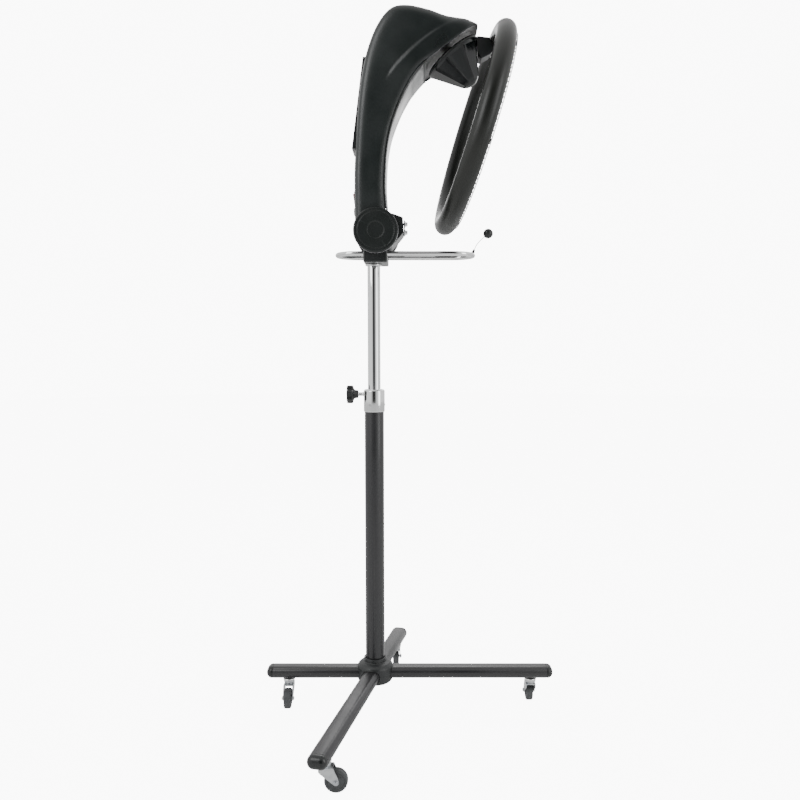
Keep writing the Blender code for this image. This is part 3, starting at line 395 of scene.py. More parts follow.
def spaced(dense, count):
    """Evenly spaced points along a dense row, its two ends among them."""
    lengths = [0.0]
    for a, b in zip(dense, dense[1:]):
        lengths.append(lengths[-1] + (b - a).length)
    points, at = [], 0
    for k in range(count + 1):
        target = lengths[-1] * k / count
        while at < len(dense) - 2 and lengths[at + 1] < target:
            at += 1
        t = (target - lengths[at]) / max(1e-9, lengths[at + 1] - lengths[at])
        points.append(dense[at].lerp(dense[at + 1], min(1.0, t)))
    return points


def section(station):
    """Points of a rounded-square section, from its back round to its back again."""
    half_width, back_square, front_square = station[4:]
    back, front = Vector((station[0], 0, station[1])), Vector((station[2], 0, station[3]))
    centre, spine = (back + front) / 2, (back - front) / 2

    def edge(degrees):
        c, s = math.cos(math.radians(degrees)), math.sin(math.radians(degrees))
        square = back_square if c >= 0 else front_square
        along = math.copysign(abs(c) ** (2 / square), c)
        return centre + spine * along + Vector((0, half_width * abs(s) ** (2 / square), 0))

    opens = SEAM_ANGLE + SLIT_ANGLE
    cover = [edge(SEAM_ANGLE * k / 400) for k in range(401)]
    inner = [edge(opens + (180 - SEAM_ANGLE - SLIT_ANGLE) * k / 120) for k in range(121)]
    half = spaced(cover, SEAM) + spaced(inner, INNER_SPAN)
    half += [Vector((p.x, -p.y, p.z)) for p in reversed(half[1:-1])]
    points = []
    for point in half:
        along = (point - centre).dot(spine) / spine.length_squared
        across = point.y / half_width
        power = (back_square if along >= 0 else front_square) - 1
        outward = spine / spine.length_squared * math.copysign(abs(along) ** power, along)
        outward += Vector((0, math.copysign(abs(across) ** power, across) / half_width, 0))
        placed = point - outward.normalized() * crease_depth(point.x, point.z) + STAND
        placed.z = min(placed.z, CAD_BOX[1][2])
        points.append(placed)
    return points


def shell(rows, name, material, replaces, thickness=0.0030):
    """One of the arm's covers, with a wall of its own."""
    bm = skin(rows, around=False)
    bmesh.ops.recalc_face_normals(bm, faces=bm.faces)
    piece = add(name, bm, material, "head", replaces=replaces)
    # The surface faces outward, so the wall goes in.
    centre = sum((v.co for v in piece.data.vertices), Vector()) / len(piece.data.vertices)
    probe = piece.data.polygons[len(piece.data.polygons) // 2]
    if (probe.center - centre).dot(probe.normal) < 0:
        piece.data.flip_normals()
    solid = piece.modifiers.new("wall", "SOLIDIFY")
    solid.thickness = thickness
    solid.offset = -1
    solid.use_even_offset = True
    soften_edges(piece, 0.0007, 2, 50)
    return piece


def cut(piece, *cutters):
    """Takes the cutters' shapes out of a piece, with its modifiers applied."""
    tools = []
    for bm in cutters:
        bmesh.ops.recalc_face_normals(bm, faces=bm.faces)
        mesh = bpy.data.meshes.new("tool")
        bm.to_mesh(mesh)
        bm.free()
        tool = bpy.data.objects.new("tool", mesh)
        bpy.context.scene.collection.objects.link(tool)
        tools.append(tool)
        modifier = piece.modifiers.new("cut", "BOOLEAN")
        modifier.object = tool
    bpy.context.view_layer.update()
    done = bpy.data.meshes.new_from_object(piece.evaluated_get(bpy.context.evaluated_depsgraph_get()))
    piece.modifiers.clear()
    piece.data = done
    for tool in tools:
        bpy.data.objects.remove(tool, do_unlink=True)


def plate(outline, y_low, y_high, soften=0.0008, segments=2):
    """A flat XZ outline, thickened along Y and with softened rims."""
    bm = bmesh.new()
    face = bm.faces.new([bm.verts.new((x, y_low, z)) for x, z in outline])
    swept = bmesh.ops.extrude_face_region(bm, geom=[face])
    moved = [v for v in swept["geom"] if isinstance(v, bmesh.types.BMVert)]
    bmesh.ops.translate(bm, vec=(0, y_high - y_low, 0), verts=moved)
    rims = [e for e in bm.edges if abs(e.verts[0].co.y - e.verts[1].co.y) < 1e-7]
    bmesh.ops.bevel(bm, geom=rims, offset=soften, segments=segments, affect="EDGES", profile=0.5)
    return bm


def arc(centre, radius, start, end, count):
    """Points of an arc, between two angles in degrees."""
    points = []
    for k in range(count + 1):
        angle = math.radians(start + (end - start) * k / count)
        points.append((centre[0] + radius * math.cos(angle), centre[1] + radius * math.sin(angle)))
    return points


SECTIONS = [section(station) for station in ARM]
# The mouth's rim rolls over.
MOUTH = SECTIONS[-1]
mouth_centre = sum(MOUTH, Vector()) / len(MOUTH)
mouth_out = (MOUTH[50] - MOUTH[0]).cross(MOUTH[150] - MOUTH[0]).normalized()
if mouth_out.z > 0:
    mouth_out = -mouth_out
for advance, inset in ((0.0012, 0.0004), (0.0021, 0.0012), (0.0026, 0.0024)):
    SECTIONS.append([p + mouth_out * advance - (p - mouth_centre).normalized() * inset for p in MOUTH])
back_rows = [row[-SEAM:] + row[:SEAM + 1] for row in SECTIONS]
cover = shell(back_rows, "arm_back_cover", HOUSING, ("arm_rear_shell",))
cut(cover, block((0.04, 0.0130, 0.0240), middle("switch_frame")),
    block((0.04, 0.0130, 0.0130), middle("cord_gland")))
inner_rows = [row[SEAM + 1:-SEAM] for row in SECTIONS[STEPS:]]
shell(inner_rows, "arm_inner_cover", INNER_PAINTED_REFLECTION, ("arm_front_shell",))
# A sloping lip closes the mouth from the shells' edge in to the round end plate.
LIP_INSET = 0.0042    # in from the shells' outside
LIP_R, LIP_LOW, LIP_HIGH = 0.0664, 0.0119, 0.0143
lip_rows = []
into_rotor = ROTOR.inverted()
for point in MOUTH:
    flat = into_rotor @ point
    reach = math.hypot(flat.x, flat.y)
    c, s = flat.x / reach, flat.y / reach
    outside = reach - LIP_INSET
    lip_rows.append([(outside * c, outside * s, flat.z + 0.0006), (LIP_R * c, LIP_R * s, LIP_LOW),
                     (LIP_R * c, LIP_R * s, LIP_HIGH),
                     (outside * c, outside * s, max(flat.z + 0.0030, LIP_HIGH))])
add("arm_mouth_lip", skin(lip_rows, along=True), INNER_PAINTED_REFLECTION, "head", ROTOR)
CHEEK = arc((TILT.x, TILT.z), 0.0520, 128, 200, 24) + arc((TILT.x, TILT.z), 0.0420, 204, 395, 60)
CHEEK += [(STAND.x, 1.2580), (STAND.x - 0.0300, 1.2580)]
for name, low, high in (("arm_cheek_near", -0.0594, -0.0520), ("arm_cheek_far", 0.0520, 0.0594)):
    add(name, plate(CHEEK, STAND.y + low, STAND.y + high), HOUSING, "head")


# ---------------------------------------------------------------- base
# Each leg's direction in degrees, and its reach from the column.
CROSSING = 77.4
LEGS = {"right": (0.0, 0.4525), "left": (180.0, 0.2760),
        "front": (CROSSING - 180, 0.4525), "rear": (CROSSING, 0.2760)}
LEG_Z = 0.0866
on_column = Matrix.Translation(STAND)


def at_leg(degrees):
    return Matrix.Translation(STAND + Vector((0, 0, LEG_Z))) @ turned(degrees, "Z")


def leg_section(shrink=0.0, shoulder=0.0006, count=72):
    """An oval tube section with half-round sides and a fine shoulder line above each side."""
    half_width, half_height = 0.022 - shrink, 0.015 - shrink
    flat = half_width - half_height
    points = []
    for angle in turns(count):
        c, s = math.cos(angle), math.sin(angle)
        groove = shoulder * math.exp(-((abs(math.degrees(math.asin(s))) - 48) / 4) ** 2) if s > 0 else 0.0
        points.append((math.copysign(flat, c) + (half_height - groove) * c, (half_height - groove) * s))
    return points


for side, (degrees, reach) in LEGS.items():
    at = at_leg(degrees)
    start, end = 0.0287, reach - 0.016
    stations = [(start, 0.0), (start + 0.001, 0.0), (end - 0.001, 0.0), (end - 0.0003, 0.0002),
                (end, 0.0006)]
    rows = [[(x, y, z) for y, z in leg_section(shrink)] for x, shrink in stations]
    rows += [[(x, y, z) for y, z in leg_section(0.0016, 0.0)] for x in (end, start)]
    add("leg_tube_" + side, skin(rows, along=True), PAINT, "stand", at, ("leg_" + side,))
    dome = [(-0.014, 0.0019), (0.0003, 0.0019), (0.0003, 0.0007), (0.0009, 0.0001), (0.0024, 0.0)]
    dome += [(0.0024 + 0.0136 * math.sin(a), 0.0134 * (1 - math.cos(a))) for a in
             [math.radians(8 + 10 * k) for k in range(9)]]
    rows = [[(end + x, y, z) for y, z in leg_section(shrink, 0.0)] for x, shrink in dome]
    add("leg_end_" + side, skin(rows, caps=True), BLACK, "stand", at, ("leg_cap_" + side,))

bore = 0.02445
hub_top = lathe([(0.0272, 0.1255), (0.0286, 0.1246), (0.0290, 0.1180), (0.0282, 0.1166),
                 (0.0300, 0.1150), (0.0380, 0.1118), (0.0430, 0.1072), (0.0455, 0.1020),
                 (0.0460, 0.0960), (0.0460, 0.0868), (bore, 0.0868), (bore, 0.1255)], radius=0.0010)
hub_low = lathe([(0.0, 0.0720), (bore, 0.0720), (bore, 0.0864), (0.0450, 0.0864), (0.0450, 0.0712),
                 (0.0430, 0.0665), (0.0405, 0.0640), (0.0, 0.0640)], radius=0.0012, closed=False)
halves = [add("hub_cover", hub_top, HUB, "stand", on_column, ("hub_upper",)),
          add("hub_base", hub_low, HUB, "stand", on_column, ("hub_lower",))]


def bar_tool(degrees):
    """The room that a pair of legs takes out of the hub."""
    bm = skin([[(x, y, z) for y, z in leg_section(-0.0003, 0.0)] for x in (-0.08, 0.08)], caps=True)
    bmesh.ops.transform(bm, matrix=at_leg(degrees), verts=bm.verts)
    return bm


for half in halves:
    cut(half, bar_tool(0.0), bar_tool(CROSSING))
for k, degrees in enumerate((38, 128, 218, 308)):
    spot = STAND + Vector(polar(0.0335, math.radians(degrees), 0))
    screw = lathe([(0.0, 0.0624), (0.0014, 0.0624), (0.0016, 0.0614), (0.0034, 0.0616),
                   (0.0042, 0.0628), (0.0042, 0.0640), (0.0, 0.0640)], 24, 0.0003, False)
    add(f"hub_screw_{k}", screw, ZINC, "stand", Matrix.Translation(spot))

# ---------------------------------------------------------------- casters
TREAD = [(0.0033, 0.0090), (0.0072, 0.0090), (0.0086, 0.0082), (0.0094, 0.0068), (0.0172, 0.0064),
         (0.0184, 0.0072), (0.0196, 0.0083), (0.0224, 0.0084), (0.0240, 0.0074), (0.0248, 0.0052),
         (0.0250, 0.0020)]
TREAD += [(r, -z) for r, z in reversed(TREAD)]
FACES = (("near", -1), ("far", 1))
for side in LEGS:
    joint = JOINTS["roll_" + side]
    axle = Vector(joint["axis"])
    at = Matrix.Translation(joint["pos_m"]) @ axle.to_track_quat("Z", "Y").to_matrix().to_4x4()
    body = "wheel_" + side
    add("tyre_" + side, lathe(TREAD, 96, 0.0004), RUBBER, body, at, ("caster_wheel_" + side,))
    for name, face in FACES:
        for k, a in enumerate(turns(5)):
            spot = Matrix.Rotation(a, 4, "Z") @ Matrix.Translation((0.0134, 0, face * 0.0066))
            boss = block((0.0066, 0.0022, 0.0012), (0, 0, 0), 0.0005, 2)
            add(f"spoke_{side}_{name}_{k}", boss, RUBBER, body, at @ spot)
    fork = "fork_" + side
    for name, face in FACES:
        rivet = lathe([(0.0, 0.0164), (0.0030, 0.0160), (0.0046, 0.0150), (0.0050, 0.0138),
                       (0.0050, 0.0126), (0.0, 0.0126)], 32, 0.0004, False)
        flip = turned(180 if face < 0 else 0, "X")
        add(f"axle_head_{side}_{name}", rivet, ZINC, fork, at @ flip)
    swivel = Vector(JOINTS["swivel_" + side]["pos_m"])
    race = lathe([(0.0106, 0.0712), (0.0132, 0.0706), (0.0148, 0.0690), (0.0152, 0.0668),
                  (0.0146, 0.0646), (0.0106, 0.0640)], 64, 0.0005)
    add("swivel_race_" + side, race, CHROME, fork, Matrix.Translation((swivel.x, swivel.y, 0)))

# ---------------------------------------------------------------- column, mast and clamp
lower_tube = lathe([(0.02415, 0.7900), (0.02415, 0.0723), (0.0222, 0.0723), (0.0222, 0.7900)], 128, 0.0003)
add("lower_tube", lower_tube, PAINT, "stand", on_column, ("column_tube",))
collar = lathe([(0.0262, 0.8052), (0.0262, 0.7545), (0.0257, 0.7530), (bore, 0.7530), (bore, 0.7903),
                (0.0180, 0.8046), (0.0176, 0.8086), (0.0232, 0.8086)], 128, 0.0014)
add("collar_shell", collar, CHROME, "stand", on_column, ("column_collar",))
for k, degrees in enumerate((-21, 99, 219)):
    grub = lathe([(0.0, 0.0260), (0.0012, 0.0260), (0.0014, 0.0268), (0.0022, 0.0270),
                  (0.0028, 0.0266), (0.0028, 0.0250), (0.0, 0.0250)], 32, 0.0002, False)
    at = Matrix.Translation(STAND + Vector((0, 0, 0.7700))) @ turned(degrees, "Z") @ turned(90, "X")
    add(f"collar_grub_{k}", grub, STEEL, "stand", at)
inner_tube = lathe([(0.0158, 1.1340), (0.0158, 0.4600), (0.0143, 0.4600), (0.0143, 1.1340)], 128, 0.0003)
add("inner_tube", inner_tube, CHROME, "mast", on_column, ("mast_tube",))

# The knob has rounded lobes, and a neck that tapers towards the collar.
to_clamp = Matrix.Translation(JOINTS["clamp_turn"]["pos_m"]) @ turned(90, "Y")
LOBES, LOBE_HEIGHT, KNOB_R, KNOB_SIDES = 7, 0.0022, 0.0210, 140
rows = []
for z, grow in ((-0.0080, -0.0022), (-0.0077, -0.0010), (-0.0066, -0.0002), (-0.0050, 0.0),
                (0.0040, 0.0), (0.0060, -0.0003), (0.0074, -0.0014), (0.0080, -0.0030)):
    rows.append([polar(KNOB_R + grow + LOBE_HEIGHT * math.cos(LOBES * a), a, z) for a in turns(KNOB_SIDES)])
for radius, z in ((0.0166, 0.0086), (0.0128, 0.0104), (0.0106, 0.0130), (0.0100, 0.0190), (0.0090, 0.0205)):
    rows.append([polar(radius, a, z) for a in turns(KNOB_SIDES)])
add("knob_grip", skin(rows, caps=True), BLACK, "clamp", to_clamp, ("clamp_knob",))
insert = lathe([(0.0, -0.0084), (0.0058, -0.0084), (0.0064, -0.0080), (0.0064, -0.0074), (0.0, -0.0074)],
               48, 0.0002, False)
add("knob_insert", insert, HUB, "clamp", to_clamp)
NECK_END, PITCH = 0.0206, 0.0012
thread = [(0.0, NECK_END)]
for k in range(9):
    thread += [(0.0050, NECK_END + PITCH * k), (0.0046, NECK_END + PITCH * (k + 0.5))]
thread += [(0.0050, 0.0320), (0.0050, 0.0420), (0.0, 0.0420)]
add("stud_thread", lathe(thread, 48, 0.0001, False), CHROME, "clamp", to_clamp, ("clamp_stud",))

# ---------------------------------------------------------------- rail, gauge and knuckle
RAIL_Z, LOW, HIGH, HALF = 1.1370, -0.0880, 0.2430, 0.0490
loop = arc((HIGH - HALF, 0.0), HALF, -90, 90, 40) + arc((LOW + HALF, 0.0), HALF, 90, 270, 40)
path = [STAND + Vector((x, y, RAIL_Z)) for x, y in loop]
add("rail_loop", bar(path, 0.0060, 32, cyclic=True), CHROME, "mast", None, ("handle_rail",))

BALL, BALL_R = middle("gauge_ball"), 0.0120
STEM_FOOT = STAND + Vector((HIGH + 0.0042, 0, 1.1527))
STEM_BEND = STAND + Vector((0.2628, 0, 1.1752))
sleeve_axis = Vector((0.0040, 0, 0.0090)).to_track_quat("Z", "Y").to_matrix().to_4x4()
sleeve_at = Matrix.Translation(STAND + Vector((HIGH, 0, RAIL_Z + 0.0063))) @ sleeve_axis
sleeve = lathe([(0.0, 0.0098), (0.0022, 0.0098), (0.0026, 0.0092), (0.0030, 0.0052), (0.0036, 0.0046),
                (0.0038, 0.0), (0.0, 0.0)], 40, 0.0003, False)
add("gauge_sleeve", sleeve, BLACK, "mast", sleeve_at, ("gauge_socket",))
stem_top = BALL - (BALL - STEM_BEND).normalized() * 0.0122
bends = catmull([STEM_FOOT, STAND + Vector((0.2530, 0, 1.1640)), STEM_BEND, stem_top], 10)
add("gauge_stem", bar(bends, 0.0009, 16), STEEL, "gauge", None, ("gauge_wire",))
grip = (BALL - Vector(bends[-1])).to_track_quat("Z", "Y").to_matrix().to_4x4()


def ball_arc(first, last):
    """Part of the ball's outline, in steps of 6 degrees from its top."""
    angles = [math.pi * k / 30 for k in range(first, last)]
    return [(BALL_R * math.sin(a), BALL_R * math.cos(a)) for a in angles]


# Two moulded halves meet in a fine groove.
ball = [(0.0, BALL_R), *ball_arc(1, 15), (BALL_R, 0.0004), (0.0118, 0.0), (BALL_R, -0.0004)]
ball += [*ball_arc(16, 29), (0.0021, -0.0121), (0.0018, -0.0122), (0.0, -0.0122)]
add("gauge_knob", lathe(ball, 64, 0.0001, False), BLACK, "gauge",
    Matrix.Translation(BALL) @ grip, ("gauge_ball",))
CLAMPING_SCREWS = ("tilt_screw_upper", "tilt_screw_lower")
for node in CLAMPING_SCREWS:
    seat = middle(node)
    head = lathe([(0.0, 0.0084), (0.0024, 0.0084), (0.0024, 0.0110), (0.0042, 0.0108), (0.0052, 0.0094),
                  (0.0054, 0.0060), (0.0074, 0.0058), (0.0076, 0.0050), (0.0076, 0.0044), (0.0031, 0.0044),
                  (0.0031, -0.0140), (0.0, -0.0140)], 48, 0.0004, False)
    place = Matrix.Translation((STAND.x + 0.0725, seat.y, seat.z)) @ turned(90, "Y")
    add(node.replace("tilt", "clamping"), head, CHROME, "mast", place, (node,))
seat = (middle(CLAMPING_SCREWS[0]) + middle(CLAMPING_SCREWS[1])) / 2
strap = block((0.0030, 0.0260, 0.0360), (STAND.x + 0.0753, seat.y, seat.z), 0.0007)
add("clamping_strap", strap, ZINC, "mast")
washer = lathe([(0.0205, 1.1154), (0.0205, 1.1126), (0.0200, 1.1122), (0.0161, 1.1122),
                (0.0161, 1.1157), (0.0198, 1.1157)], 96, 0.0004)
add("mast_ring", washer, CHROME, "mast", on_column, ("mast_washer",))
for node in ("rail_block", "tilt_knuckle"):
    soften_edges(frame["nodes"][node], 0.0006, 2, 35)

# ---------------------------------------------------------------- pivot discs
FACE = [(0.0, 0.0768), (0.0185, 0.0768), (0.0192, 0.0774), (0.0198, 0.0781), (0.0212, 0.0785),
        (0.0425, 0.0785), (0.0434, 0.0778), (0.0442, 0.0778), (0.0450, 0.0788), (0.0480, 0.0790),
        (0.0510, 0.0786), (0.0526, 0.0772), (0.0534, 0.0748), (0.0534, 0.0646), (0.0528, 0.0620),
        (0.0515, 0.0604), (0.0083, 0.0603), (0.0083, 0.0743), (0.0, 0.0743)]
for name, degrees in (("near", 90), ("far", -90)):
    at = Matrix.Translation(TILT) @ turned(degrees, "X")
    disc = lathe(FACE, 128, 0.0005, False)
    add("pivot_disc_" + name, disc, DISC, "head", at, ("pivot_cap_" + name,))
    rim = lathe([(0.0538, 0.0706), (0.0538, 0.0688), (0.0532, 0.0686), (0.0532, 0.0708)], 128, 0.0002)
    add("pivot_rim_" + name, rim, STEEL, "head", at)

# ---------------------------------------------------------------- rotor
# A cone with flat facets between raised ribs, round at its rim and at its tip.
FACETS, FACET_STEPS, RIB_HEIGHT = 9, 24, 0.006
profile = rounded([(0.0, 0.0), (0.0672, 0.0), (0.0700, 0.0), (0.0706, -0.0050), (0.0702, -0.0068),
                   (0.0668, -0.0112), (0.0372, -0.0560), (0.0258, -0.0735), (0.0222, -0.0776),
                   (0.0165, -0.0815), (0.0080, -0.0852), (0.0, -0.0865)], 0.0014, 4, closed=False)
rows = []
for a in turns(FACETS * FACET_STEPS):
    off = (a * FACETS / (2 * math.pi)) % 1 - 0.5
    flat = math.cos(math.pi / FACETS) / math.cos(2 * math.pi * off / FACETS)
    rib = max(0.0, 1 - (0.5 - abs(off)) * FACETS * 3.2)
    row = []
    for r, z in profile:
        share = smoothstep((-z - 0.0065) / 0.008) * smoothstep((0.0835 + z) / 0.007)
        scale = 1 + share * (flat - 1 + RIB_HEIGHT * rib * rib) - RIB_HEIGHT * share
        row.append(polar(r * scale, a, z))
    rows.append(row)
add("rotor_housing", skin(rows, around=False, along=True), GLOSS, "rotor", SPUN,
    ("rotor_cone",), angle=14)
band = lathe([(0.0709, -0.0024), (0.0710, -0.0050), (0.0704, -0.0054), (0.0700, -0.0020)], 128, 0.0002)
add("rotor_band", band, DISC, "rotor", SPUN)
soften_edges(frame["nodes"]["ring_bracket"], 0.0007, 2, 35)
# Plated screws along the bracket's lower edge, beside the ring.
for k, (x, z) in enumerate(((0.0826, -0.0512), (0.0905, -0.0494))):
    for side, face in FACES:
        screw = lathe([(0.0, 0.0042), (0.0016, 0.0042), (0.0018, 0.0034), (0.0034, 0.0034),
                       (0.0040, 0.0024), (0.0040, -0.0030), (0.0, -0.0030)], 40, 0.0004, False)
        at = SPUN @ Matrix.Translation((x, face * 0.0095, z)) @ turned(168, "Y")
        add(f"bracket_screw_{side}_{k}", screw, CHROME, "rotor", at)


# ---------------------------------------------------------------- ring
RING_SIDES = 256


def around_ring(profile, name, material, replaces):
    """A closed section swept round the ring."""
    rows = [[polar(r, a, z) for r, z in profile] for a in turns(RING_SIDES)]
    add(name, skin(rows, along=True), material, "rotor", RING, replaces)


def ring_point(radius, degrees):
    """A point of the ring's section; 0 degrees is the middle of its mouth, which leans inward."""
    angle = math.radians(degrees - RING_LEAN)
    return (RING_R + radius * math.sin(angle), radius * math.cos(angle))


outer = [ring_point(0.0239, d) for d in [34 + 292 * k / 72 for k in range(73)]]
lip = [ring_point(0.0228, 327.5), ring_point(0.0216, 326.5)]
inner = [ring_point(0.0213, d) for d in [326 - 292 * k / 40 for k in range(41)]]
lip_end = [ring_point(0.0216, 33.5), ring_point(0.0228, 32.5)]
around_ring(outer + lip + inner + lip_end, "ring_cover", RING_MAT, ("ring_shell",))
dish_back = [ring_point(0.0196, d) for d in range(54, 308, 12)]
dish_front = [ring_point(0.0186, d) for d in range(302, 48, -12)]
dish = [ring_point(0.0200, 46), *dish_back, ring_point(0.0200, 314)]
dish += [ring_point(0.0188, 312), *dish_front, ring_point(0.0188, 48)]
around_ring(dish, "ring_mirror", MIRROR, ("ring_reflector",))
lamp_r, lamp_z = ring_point(0.0040, 0)
lamp = [polar(lamp_r, a, lamp_z) for a in turns(RING_SIDES)]
add("lamp_tube", bar(lamp, 0.0050, 24, cyclic=True), QUARTZ, "rotor", RING, ("ring_lamp",))
# The guard's wire weaves across the mouth, tied by three hoops and held by clips.
WAVES, WAVE_STEPS, WAVE_REACH, WAVE_SHARPNESS = 120, 8, 30, 0.985
CLIPS, FIRST_CLIP = 6, 53.5
zigzag = []
for a in turns(WAVES * WAVE_STEPS):
    across = math.asin(WAVE_SHARPNESS * math.cos(WAVES * a)) / math.asin(WAVE_SHARPNESS)
    radius, z = ring_point(0.0248, WAVE_REACH * across)
    zigzag.append(polar(radius, a, z))
add("guard_wire", bar(zigzag, 0.0007, 8, cyclic=True), CHROME, "rotor", RING, ("ring_guard",))
for name, degrees in (("outer", 30.5), ("middle", 0), ("inner", -30.5)):
    radius, z = ring_point(0.0262, degrees)
    hoop = [polar(radius, a, z) for a in turns(RING_SIDES)]
    add("guard_hoop_" + name, bar(hoop, 0.0011, 12, cyclic=True), CHROME, "rotor", RING)
for k in range(CLIPS):
    round_ring = RING @ turned(FIRST_CLIP + 360 / CLIPS * k, "Z")
    for name, degrees in (("outer", 35), ("inner", -35)):
        radius, z = ring_point(0.0254, degrees)
        at = round_ring @ Matrix.Translation((radius, 0, z)) @ turned(degrees - RING_LEAN, "Y")
        clip = block((0.0066, 0.0090, 0.0026), (0, 0, 0), 0.0006, 2)
        add(f"guard_clip_{name}_{k}", clip, CHROME, "rotor", at)
        foot = block((0.0040, 0.0124, 0.0012), (0.0016 if degrees > 0 else -0.0016, 0, -0.0008), 0.0003, 2)
        add(f"clip_foot_{name}_{k}", foot, BLACK, "rotor", at)

# ---------------------------------------------------------------- controls on the arm's back
soften_edges(frame["nodes"]["control_panel"], 0.0012, 3, 40)
for node in ("switch_frame", "power_rocker"):
    soften_edges(frame["nodes"][node], 0.0004, 2, 40)
# The panel's frame: x runs up the panel, z out of it.
UP = Vector((-0.0225, 0, 1.5970)) - Vector((-0.0495, 0, 1.3850))
upright = Matrix.Rotation(math.radians(-90) + math.atan2(UP.x, UP.z), 4, "Y")
PANEL = Matrix.Translation(STAND + Vector((-0.0360, 0, 1.4910))) @ upright
WINDOW_X, WINDOW_HALF_X, WINDOW_HALF_Y = -0.0560, 0.0172, 0.0282
KEYS_X, KEY_GAP = 0.0720, 0.0200


def boxed(value):
    """Bends a circle's sine or cosine towards a rounded rectangle's."""
    return math.copysign(abs(value) ** 0.22, value)


rows = []
for inset, z in ((0.0, -0.0008), (0.0, 0.0004), (0.0004, 0.0008), (0.0014, 0.0008), (0.0018, 0.0004),
                 (0.0018, -0.0008)):
    half_x, half_y = WINDOW_HALF_X - inset, WINDOW_HALF_Y - inset
    rows.append([(WINDOW_X + half_x * boxed(math.cos(a)), half_y * boxed(math.sin(a)), z) for a in turns(96)])
add("window_frame", skin(rows, along=True), HUB, "head", PANEL)
for name, y in (("minus", -KEY_GAP), ("start", 0.0), ("plus", KEY_GAP)):
    at = PANEL @ Matrix.Translation((KEYS_X, y, 0))
    cap = lathe([(0.0, 0.0014), (0.0032, 0.0015), (0.0046, 0.0019), (0.0054, 0.0018), (0.0060, 0.0010),
                 (0.0060, -0.0015), (0.0, -0.0015)], 56, 0.0003, False)
    material, slot = (STEEL, "steel") if name == "start" else (HUB, "hub_plastic")
    add("key_cap_" + name, cap, material, "key_" + name, at, ("key_" + name,))
    halo = lathe([(0.0064, 0.0006), (0.0080, 0.0005), (0.0084, 0.0), (0.0084, -0.0004), (0.0064, -0.0004)],
                 56, 0.0002)
    add("key_ring_" + name, halo, HUB, "head", at)


# ---------------------------------------------------------------- camera, floor and light
BACKDROP = 10.0       # the white that the camera sees
ROOM_SEEN = 1.35      # the room that gloss and chrome reflect
ROOM_LIGHT = 0.75     # the room's own soft light
FLOOR_WHITE = 9.1     # the floor as the camera sees it, which meets the backdrop
FLOOR_GLOW = 0.25     # the floor's glow to every other ray
WHITE = (1, 1, 1, 1)


def area(name, place, aim, size, power):
    """A soft rectangular light."""
    light = bpy.data.lights.new(name, "AREA")
    light.shape = "RECTANGLE"
    light.size, light.size_y = size
    light.energy = power
    lamp = bpy.data.objects.new(name, light)
    lamp.location = place
    lamp.rotation_euler = (Vector(aim) - Vector(place)).to_track_quat("-Z", "Y").to_euler()
    bpy.context.scene.collection.objects.link(lamp)


area("key", (-1.9, -1.6, 2.5), (0, 0, 1.1), (1.4, 1.8), 34)
area("fill", (2.1, -1.2, 1.6), (0, 0, 1.0), (1.0, 2.2), 20)
area("back", (0.3, 2.3, 2.3), (0, 0, 1.2), (2.0, 1.2), 26)

world = bpy.data.worlds.new("studio")
bpy.context.scene.world = world
world.use_nodes = True
tree = world.node_tree
direction = tree.nodes.new("ShaderNodeTexCoord")
split = tree.nodes.new("ShaderNodeSeparateXYZ")
tree.links.new(direction.outputs["Generated"], split.inputs["Vector"])


def calculate(operation, first, second):
    """A maths step on sockets or plain numbers."""
    node = tree.nodes.new("ShaderNodeMath")
    node.operation = operation
    for socket, value in zip(node.inputs, (first, second)):
        if isinstance(value, bpy.types.NodeSocket):
            tree.links.new(value, socket)
        else:
            socket.default_value = value
    return node.outputs[0]


# A white room with one dark flag in front, low down, which chrome shows as a dark streak. Each kind of
# ray sees the room at its own strength.
sideways = calculate("ABSOLUTE", split.outputs["X"], 0.0)
behind = calculate("MULTIPLY", split.outputs["Y"], 3.0)
above = calculate("MULTIPLY", calculate("SUBTRACT", split.outputs["Z"], 0.42), 1.2)
openness = calculate("MAXIMUM", calculate("MAXIMUM", sideways, behind), above)
ramp = tree.nodes.new("ShaderNodeValToRGB")
ramp.color_ramp.elements[0].position = 0.20
ramp.color_ramp.elements[0].color = (0.03, 0.03, 0.03, 1)
ramp.color_ramp.elements[1].position = 0.62
ramp.color_ramp.elements[1].color = (0.95, 0.95, 0.95, 1)
tree.links.new(openness, ramp.inputs["Fac"])
rays = tree.nodes.new("ShaderNodeLightPath")


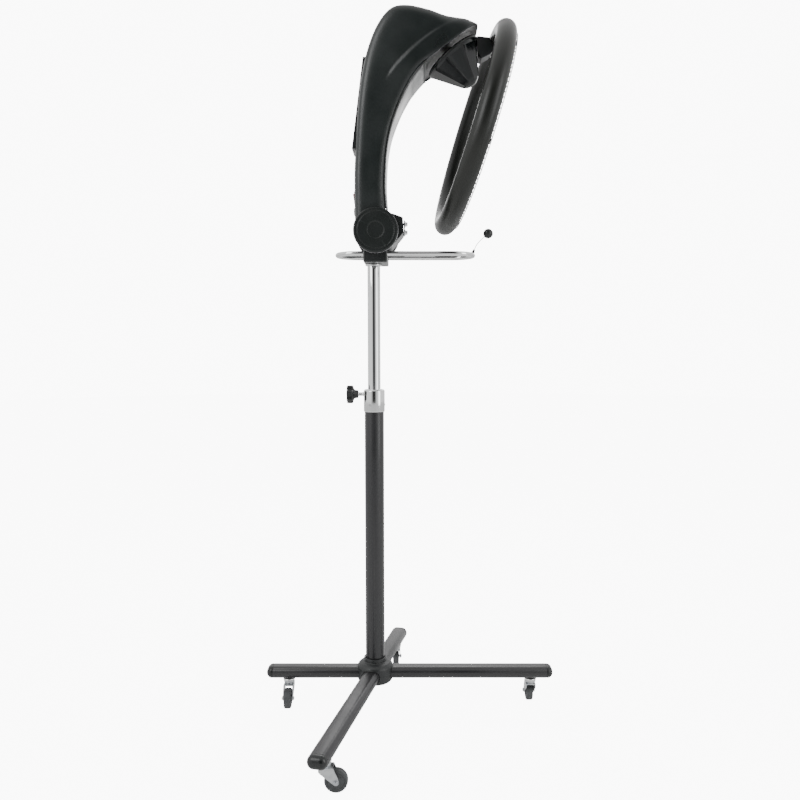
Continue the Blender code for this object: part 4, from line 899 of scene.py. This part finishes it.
def room(strength, colour=None):
    """The room as one kind of ray sees it."""
    background = tree.nodes.new("ShaderNodeBackground")
    background.inputs["Strength"].default_value = strength
    if colour is None:
        tree.links.new(ramp.outputs["Color"], background.inputs["Color"])
    else:
        background.inputs["Color"].default_value = colour
    return background.outputs["Background"]


last = room(ROOM_LIGHT)
for ray, seen in (("Is Glossy Ray", room(ROOM_SEEN)), ("Is Camera Ray", room(BACKDROP, WHITE))):
    mix = tree.nodes.new("ShaderNodeMixShader")
    tree.links.new(rays.outputs[ray], mix.inputs["Fac"])
    tree.links.new(last, mix.inputs[1])
    tree.links.new(seen, mix.inputs[2])
    last = mix.outputs["Shader"]
tree.links.new(last, tree.nodes["World Output"].inputs["Surface"])

floor_mesh = bpy.data.meshes.new("floor")
bm = bmesh.new()
bmesh.ops.create_circle(bm, cap_ends=True, radius=12, segments=64)
bm.to_mesh(floor_mesh)
bm.free()
floor = bpy.data.objects.new("floor", floor_mesh)
floor_finish = finish("floor_pale", (0.86, 0.86, 0.86), (0.89, 0.89, 0.89), 0.7, grain=60, bump=0.01,
                      patch=0.6)
floor_mesh.materials.append(floor_finish)
# The floor is lit up to the backdrop's white, so that no horizon shows.
floor_tree = floor_finish.node_tree
floor_shader = floor_tree.nodes["Principled BSDF"]
floor_shader.inputs["Emission Color"].default_value = WHITE
floor_rays = floor_tree.nodes.new("ShaderNodeLightPath")
glow = floor_tree.nodes.new("ShaderNodeMapRange")
glow.inputs["To Min"].default_value = FLOOR_GLOW
glow.inputs["To Max"].default_value = FLOOR_WHITE
floor_tree.links.new(floor_rays.outputs["Is Camera Ray"], glow.inputs["Value"])
floor_tree.links.new(glow.outputs["Result"], floor_shader.inputs["Emission Strength"])
bpy.context.scene.collection.objects.link(floor)
floor.location.z = CAD_BOX[0][2] - 0.0005

camera_data = bpy.data.cameras.new("camera")
camera_data.lens = 34.55
camera_data.sensor_width = 36
camera_data.shift_x = -0.015
camera = bpy.data.objects.new("camera", camera_data)
camera.location = STAND + Vector((0.094, -1.908, 0.929))
camera.rotation_euler = (math.radians(90 - 4.417), 0, 0)
bpy.context.scene.collection.objects.link(camera)
bpy.context.scene.camera = camera
